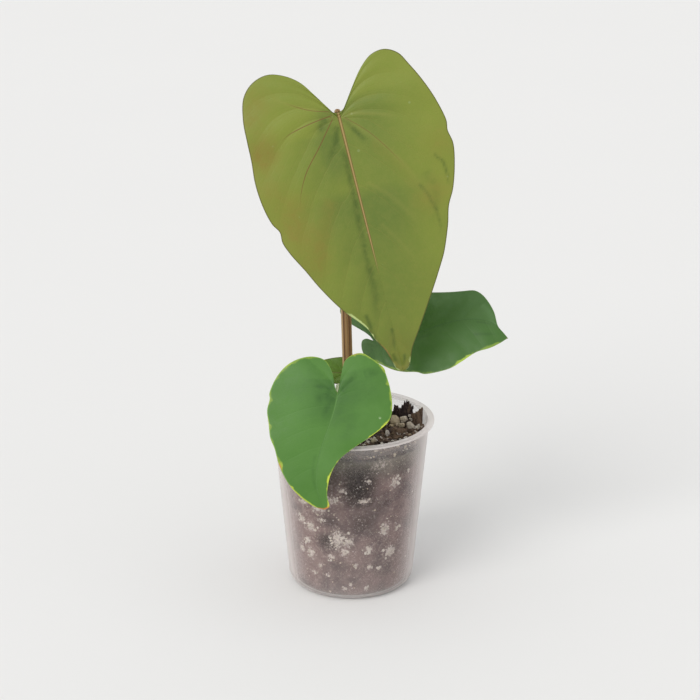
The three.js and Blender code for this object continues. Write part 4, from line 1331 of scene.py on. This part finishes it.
class PLANT_OT_mix(bpy.types.Operator):
    """Build the potting mix: fill, bark and pale lumps"""

    bl_idname = "plant.build_mix"
    bl_label = "Build Mix"

    def execute(self, context):
        self.pot = context.scene.plant_pot
        mix = context.scene.plant_mix
        self.random = np.random.default_rng(SEED)
        self.patches = self.all_patches(mix.wall_patches)
        fill = self.build_fill()
        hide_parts("potting_mix")
        bark, pumice = Heap(), Heap()
        self.chip = template(cuts=1)
        self.lump, self.speck = template(subdivisions=3), template(subdivisions=2)
        self.dress_top(mix, bark, pumice)
        self.dress_wall(mix, pumice)
        bark.piece("bark_chips", bark_skin(mix), BARK_CRISP)
        pumice.piece("pumice_lumps", pumice_skin(mix), PUMICE_CRISP)
        return {"FINISHED"}

    def all_patches(self, extra):
        """White patches of the front, and as many more round the sides that no photograph shows."""
        draw = self.random
        patches = list(WALL_PATCHES)
        for _ in range(extra):
            azimuth = draw.uniform(-25, 205)
            patches.append((azimuth, draw.uniform(6, 88), draw.uniform(2.5, 8), draw.uniform(2.5, 7)))
        return patches

    def nearness(self, places, azimuth, z, flat=1.0):
        """How deep each point lies in the given patches, 1 at the middle of one; flat widens the middle."""
        total = np.zeros_like(z)
        for where, height, width, tall, *strength in places:
            away = (azimuth - where + 180) % 360 - 180
            round_mm = np.radians(away) * WALL_MM
            depth = (round_mm / (width * 0.6)) ** 2 + ((z - height) / (tall * 0.6)) ** 2
            total = np.maximum(total, np.exp(-(depth**flat)) * (strength[0] if strength else 1.0))
        return total

    def build_fill(self):
        """Lumpy body of fine mix that fills the pot under the chips."""
        depth = 0.4
        corner = self.pot.corner / MM
        corner_x = wall_radius(self.pot, corner) - corner
        inset = self.pot.wall_thick / MM + depth
        profile = [(0, 2.2)]
        profile += arc(corner_x, corner, corner - inset, -math.pi / 2, 0, 6)
        profile += [(wall_radius(self.pot, z) - inset, z) for z in np.linspace(10, MIX_TOP - 2, 90)]
        top_reach = 42
        profile += [(r, MIX_TOP) for r in np.linspace(top_reach, 3, 26)]
        profile += [(0, MIX_TOP)]
        vertices, faces = lathe(profile, FILL_SIDES)
        for vertex in vertices:
            x, y, z = vertex
            radius = math.hypot(x, y)
            if z > MIX_TOP - 1:
                dip = 0.5 + 0.5 * math.sin(x * 0.9 + 1.3) * math.sin(y * 1.1)
                dip += 0.4 * math.sin(x * 1.7 - y * 1.3)
                vertex[2] = surface_height(x, y) - 1.3 - 0.8 * dip
            elif radius > 5:
                turn = math.atan2(y, x)
                lumps = math.sin(turn * 23 + z * 0.4) * math.sin(z * 0.55 - turn * 9)
                lumps += 0.5 * math.sin(turn * 51 - z * 1.1) * math.sin(z * 1.3 + turn * 17)
                squeeze = 1 - (0.25 - 0.15 * lumps) / radius
                vertex[0] *= squeeze
                vertex[1] *= squeeze
        azimuth = np.degrees(np.arctan2(vertices[:, 1], vertices[:, 0]))
        attributes = {
            "dust": self.nearness(self.patches, azimuth, vertices[:, 2]),
            "hollow": self.nearness(WALL_HOLLOW_SHADE, azimuth, vertices[:, 2], 1.7),
        }
        return add_piece("mix_fill", vertices, faces, [fill_skin()], attributes)

    def rough(self, shape, size, amount, swell=0.12, flats=0):
        """Copy of a template, stretched to half sizes, swollen, worn flat in places and made uneven."""
        points, faces = shape
        size = np.asarray(size, dtype=float)
        swing = points[:, [1, 2, 0]] * self.random.uniform(1, 4, 3) + self.random.uniform(0, 6, 3)
        points = points * (1 + swell * np.sin(swing))
        for _ in range(flats):
            facing = unit(self.random.normal(0, 1, 3))
            over = points @ facing - self.random.uniform(0.5, 0.85)
            points = points - np.outer(np.maximum(over, 0) * 0.9, facing)
        points = points * size
        return points + self.random.normal(0, amount, points.shape) * size.min(), faces

    def crumb(self, length, width, thick):
        """Small broken piece of bark."""
        points, faces = self.rough(self.chip, (width / 2, thick / 2, length / 2), 0.16)
        end = np.clip(np.abs(points[:, 2]) / (length / 2), 0, 1)
        points[:, 0] *= 1 - 0.42 * end**2
        return points, faces

    def splinter(self, length, width, thick, crest=None):
        """Bark chip: a thin slab, long side along Z, whose ends are torn into uneven points."""
        draw = self.random
        columns, rows = (5, 4) if crest is None else (14, 7)
        if crest is None:
            top = 1 - 0.55 * draw.uniform(0, 1, columns + 1)
        else:
            top = np.interp(np.linspace(0, len(crest) - 1, columns + 1), np.arange(len(crest)), crest)
            top = top - 0.14 * draw.uniform(0, 1, columns + 1)
        foot = -1 + 0.4 * draw.uniform(0, 1, columns + 1)
        across = np.linspace(-1, 1, columns + 1)[None, :] * np.ones((rows + 1, 1))
        share = np.linspace(0, 1, rows + 1)[:, None]
        z = (foot + (top - foot) * share) * length / 2
        x = across * width / 2 * (0.8 + 0.2 * share) + draw.uniform(-0.12, 0.12) * z
        x = x + draw.normal(0, 0.02 * width, z.shape)
        half = thick / 2 * (1 - 0.5 * np.abs(across) ** 3) * (1 - 0.7 * share**3)
        sheets = []
        for face in (-1, 1):
            y = face * half + draw.normal(0, 0.1 * thick, z.shape)
            sheets.append(np.stack([x, y, z], axis=-1).reshape(-1, 3))
        wide = columns + 1
        count = wide * (rows + 1)
        faces = []
        for i in range(rows):
            for j in range(columns):
                a = i * wide + j
                faces.append((a, a + 1, a + 1 + wide, a + wide))
                faces.append((a + wide + count, a + 1 + wide + count, a + 1 + count, a + count))
        rim = list(range(wide)) + [i * wide + columns for i in range(1, rows + 1)]
        rim += [rows * wide + j for j in range(columns - 1, -1, -1)]
        rim += [i * wide for i in range(rows - 1, 0, -1)]
        for a, b in zip(rim, rim[1:] + rim[:1]):
            faces.append((b, a, a + count, b + count))
        return np.vstack(sheets), faces

    def put(self, heap, made, centre, turn, tilt, lean, tone):
        points = turned(made[0], turn, tilt, lean) + np.asarray(centre)
        heap.add(keep_in_pot(points, self.pot, TOP_CLEAR), made[1], tone)

    def dress_top(self, mix, bark, pumice):
        """Covers the surface, with the pieces that the photograph shows at the back right first."""
        draw = self.random
        for x, y, z, length, width, turn, tilt, tone, crest in UPRIGHT_CHIPS:
            self.put(bark, self.splinter(length, width, 3.0, crest), (x, y, z), turn, tilt, 0, tone)
        for heap, lumps, uneven, flats in ((pumice, TOP_STONES, 0.04, 14), (bark, BARK_LUMPS, 0.05, 12)):
            for x, y, z, across, deep, high, turn, tone in lumps:
                made = self.rough(self.lump, (across, deep, high), uneven, 0.26, flats)
                self.put(heap, made, (x, y, z), turn, 0, 0, tone)
        for _ in range(mix.top_bark):
            x, y = self.spot(13.5, 43)
            length = draw.uniform(4, 8.5)
            made = self.splinter(length, length * draw.uniform(0.5, 0.85), draw.uniform(1.6, 3.2))
            height = surface_height(x, y) + draw.uniform(-1.0, 0.5)
            tilt = draw.choice([-1, 1]) * draw.uniform(0.9, 1.6)
            lean = draw.uniform(-0.3, 0.3)
            self.put(bark, made, (x, y, height), draw.uniform(0, math.tau), tilt, lean, draw.uniform(0, 1))
        for _ in range(mix.top_crumbs):
            x, y = self.spot(11, 44)
            size = draw.uniform(0.5, 1.8)
            made = self.crumb(size * 2.2, size * 1.4, size)
            place_at = (x, y, surface_height(x, y) + draw.uniform(-0.4, 0.6))
            self.put(bark, made, place_at, draw.uniform(0, 6), draw.uniform(0, 3), 0, draw.uniform(0, 1))
        for _ in range(mix.top_pumice):
            x, y = self.spot(12, 44)
            radius = draw.uniform(0.8, 2.3)
            size = (radius, radius * draw.uniform(0.6, 0.9), radius * draw.uniform(0.45, 0.8))
            made = self.rough(self.lump, size, 0.05, 0.24, 7)
            height = surface_height(x, y) + radius * 0.1
            self.put(pumice, made, (x, y, height), draw.uniform(0, 6), 0, 0, draw.uniform(0, 0.7))
        reach = wall_radius(self.pot, MIX_TOP) - 2.6
        for _ in range(mix.top_crumbs // 10):
            angle = draw.uniform(0, math.tau)
            radius = draw.uniform(0.3, 0.9)
            inward = reach - abs(draw.normal(0, 2.5))
            made = self.rough(self.speck, (radius, radius * 0.8, radius * 0.7), 0.14)
            centre = around(inward, angle, MIX_TOP + draw.uniform(-0.5, 1.2))
            self.put(pumice, made, centre, 0, 0, 0, draw.uniform(0, 0.8))
        for _ in range(mix.front_crumbs):
            x = draw.uniform(2, 43)
            y = draw.uniform(*FRONT_STRIP) - math.sqrt(RIM_SIGHT**2 - x * x)
            radius = 0.65 + 1.25 * draw.uniform(0, 1) ** 2
            made = self.rough(self.speck, (radius, radius * 0.8, radius * 0.7), 0.14, 0.2, 5)
            height = surface_height(x, y) + draw.uniform(-0.3, 0.5)
            self.put(pumice, made, (x, y, height), 0, 0, draw.uniform(0, 3), draw.uniform(0.65, 1.4))

    def dress_wall(self, mix, pumice):
        """Presses crumbs and specks against the inside of the wall."""
        draw = self.random
        for azimuth, z, width, tall, *strength in self.patches:
            if strength:
                continue
            for _ in range(int(6 + width * tall * 0.55)):
                radius = 0.2 + 0.85 * draw.uniform(0, 1) ** 3
                made = self.rough(self.speck, (radius, radius * 0.6, radius * draw.uniform(0.5, 1)), 0.2)
                angle = math.radians(azimuth) + draw.normal(0, width * 0.3) / WALL_MM
                height = min(z + draw.normal(0, tall * 0.3), 95)
                self.press(pumice, made, angle, height, 0.55, draw.uniform(0, 3.14), draw.uniform(0.7, 1.3))
        for _ in range(mix.wall_specks):
            radius = 0.16 + 0.6 * draw.uniform(0, 1) ** 4
            made = self.rough(self.speck, (radius, radius * 0.7, radius * draw.uniform(0.6, 1)), 0.12)
            angle = draw.uniform(0, math.tau)
            spin = draw.uniform(0, 3.14)
            self.press(pumice, made, angle, draw.uniform(3, 94), 0.5, spin, draw.uniform(0.2, 1))

    def press(self, heap, made, angle, z, depth, spin, tone):
        """Sets a piece flat against the inside of the wall."""
        points = turned(turned(made[0], 0, 0, spin), angle - math.pi / 2, 0, 0)
        reach = wall_radius(self.pot, z) - self.pot.wall_thick / MM - depth
        points = points + np.asarray(around(reach, angle, z))
        heap.add(keep_in_pot(points, self.pot, WALL_CLEAR), made[1], tone)

    def spot(self, inner, outer):
        """Random place on the ring of mix round the crown."""
        reach = math.sqrt(self.random.uniform(inner**2, outer**2))
        angle = self.random.uniform(0, math.tau)
        return reach * math.cos(angle), reach * math.sin(angle)


class PLANT_OT_stem(bpy.types.Operator):
    """Build the crown and its roots"""

    bl_idname = "plant.build_stem"
    bl_label = "Build Stem"

    def execute(self, context):
        profile = [(0, CROWN_FOOT)]
        for z in np.linspace(CROWN_FOOT + 0.2, CROWN_TOP - 3.2, 60):
            t = (z - CROWN_FOOT) / (CROWN_TOP - CROWN_FOOT)
            scar = 0.35 * math.sin(z * 1.9) ** 6
            profile.append((min(4.5 + 7.2 * t**0.7, CROWN_R - 0.3) - 0.3 + scar, z))
        profile += arc(CROWN_R - 3.6, CROWN_TOP - 3.6, 3.3, 0.1, math.pi / 2, 8)
        profile.append((0, CROWN_TOP - 0.2))
        vertices, faces = lathe(profile, CROWN_SIDES)
        turn = np.arctan2(vertices[:, 1], vertices[:, 0])
        swell = 1 + 0.02 * np.sin(turn * 5 + vertices[:, 2] * 0.3) - 0.02
        vertices[:, :2] *= swell[:, None]
        along = (vertices[:, 2] - CROWN_FOOT) / (CROWN_TOP - CROWN_FOOT)
        attributes = {"turn_x": np.cos(turn), "turn_y": np.sin(turn), "along": along}
        crown = add_piece("crown", vertices, faces, [crown_skin()], attributes)
        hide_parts("stem_with_roots")
        skin = root_skin()
        for number, course in enumerate(ROOT_COURSES, 1):
            points, sides, attributes = sweep(course, lambda t: 2.1 - 1.2 * t, ROOT_SIDES, 70)
            add_piece(f"root_{number}", points, sides, [skin], attributes)
        return {"FINISHED"}


class PLANT_OT_leaf(bpy.types.Operator):
    """Build one leaf: its stalk and its blade"""

    bl_idname = "plant.build_leaf"
    bl_label = "Build Leaf"

    which: bpy.props.EnumProperty(
        name="Leaf", description="Leaf to build", items=[(name, name.title(), name) for name in LEAVES]
    )

    def execute(self, context):
        settings = context.scene.plant_leaf
        name = self.which
        leaf = LEAVES[name]
        slots = {"tall": "blade_olive", "side": "blade_deep", "front": "blade_mid", "small": "blade_dark"}
        points, faces, attributes, sides = blade_mesh(leaf)
        skins = [
            blade_upper(name, getattr(settings, name), settings.vein_relief),
            blade_under(name, settings.vein_relief),
        ]
        label, slot = f"{name}_leaf_blade", slots[name]
        blade = add_piece(label, points, faces, skins, attributes, sides, crisp=BLADE_CRISP)
        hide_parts(f"{name}_blade")
        self.build_stalk(name, leaf, settings)
        return {"FINISHED"}

    def build_stalk(self, name, leaf, settings):
        base, middle, end, knuckle = leaf["radii"]

        def radius_at(t):
            body = base + (middle - base) * min(1, t / 0.2)
            neck = body + (end - middle) * max(0, (t - 0.4) / 0.6)
            swell = (knuckle - end) * math.exp(-(((t - KNUCKLE_AT) / KNUCKLE_SPREAD) ** 2))
            return neck + swell - 0.12

        def section(turn):
            groove = 0.1 * np.exp(-(((turn / math.tau - 0.3) / 0.035) ** 2))
            return 1 + 0.012 * np.cos(turn * 9) - groove

        tall = name == "tall"
        skin_name = "brown_stalk" if tall else "green_stalk"
        skin = bpy.data.materials.get(skin_name) or stalk_skin(skin_name, getattr(settings, skin_name))
        steps = 240 if tall else 120
        points, faces, attributes = sweep(leaf["stalk"], radius_at, STALK_SIDES, steps, section)
        label = f"{name}_leaf_stalk"
        piece = add_piece(label, points, faces, [skin], attributes, crisp=STALK_CRISP)
        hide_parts(f"{name}_petiole")


class PLANT_OT_stage(bpy.types.Operator):
    """Build the floor, the lights and the camera"""

    bl_idname = "plant.build_stage"
    bl_label = "Build Stage"

    def execute(self, context):
        stage = context.scene.plant_stage
        mesh = bpy.data.meshes.new("floor")
        corners = [(FLOOR_HALF * x, FLOOR_HALF * y, 0) for x, y in ((-1, -1), (1, -1), (1, 1), (-1, 1))]
        mesh.from_pydata(corners, [], [(0, 1, 2, 3)])
        mesh.materials.append(floor_skin(stage.floor_colour))
        floor = show("floor", mesh)
        sun = bpy.data.lights.new("window", "SUN")
        sun.energy = stage.sun
        sun.angle = math.radians(SUN_SIZE)
        sun.color = (1.0, 0.985, 0.96)
        lamp = show("window", sun)
        lamp.rotation_euler = (math.radians(SUN_TILT), 0, math.radians(SUN_TURN))
        world = bpy.data.worlds.new("studio")
        world.use_nodes = True
        light = world.node_tree.nodes["Background"].inputs
        light["Color"].default_value = (1.0, 1.0, 1.0, 1.0)
        light["Strength"].default_value = stage.sky
        context.scene.world = world
        context.scene.view_settings.view_transform = "Standard"
        lens = bpy.data.cameras.new("camera")
        lens.lens = stage.lens
        lens.sensor_width = SENSOR_MM
        camera = show("camera", lens)
        camera.location = stage.camera_place
        camera.rotation_euler = (math.pi / 2 - stage.look_down, 0, 0)
        context.scene.camera = camera
        return {"FINISHED"}


class PLANT_PT_builder(bpy.types.Panel):
    """Lists the pieces of the plant"""

    bl_idname = "PLANT_PT_builder"
    bl_label = "Plant"
    bl_space_type = "VIEW_3D"
    bl_region_type = "UI"
    bl_category = "Plant"

    def draw(self, context):
        layout = self.layout
        for settings in ("plant_pot", "plant_mix", "plant_leaf", "plant_stage"):
            group = getattr(context.scene, settings)
            box = layout.box()
            for name in group.__annotations__:
                box.prop(group, name)
        for operator in ("pot", "mix", "stem", "stage"):
            layout.operator(f"plant.build_{operator}")
        for name in LEAVES:
            layout.operator("plant.build_leaf", text=f"Build {name} leaf").which = name


SETTINGS = {
    "plant_pot": PotSettings,
    "plant_mix": MixSettings,
    "plant_leaf": LeafSettings,
    "plant_stage": StageSettings,
}
CLASSES = (
    *SETTINGS.values(),
    PLANT_OT_pot,
    PLANT_OT_mix,
    PLANT_OT_stem,
    PLANT_OT_leaf,
    PLANT_OT_stage,
    PLANT_PT_builder,
)


def register():
    for each in CLASSES:
        bpy.utils.register_class(each)
    for name, settings in SETTINGS.items():
        setattr(bpy.types.Scene, name, bpy.props.PointerProperty(type=settings))


def unregister():
    for name in SETTINGS:
        delattr(bpy.types.Scene, name)
    for each in reversed(CLASSES):
        bpy.utils.unregister_class(each)


def main():
    register()
    bpy.ops.plant.build_stage()
    bpy.ops.plant.build_pot()
    bpy.ops.plant.build_mix()
    bpy.ops.plant.build_stem()
    for name in LEAVES:
        bpy.ops.plant.build_leaf(which=name)


if __name__ == "__main__":
    main()
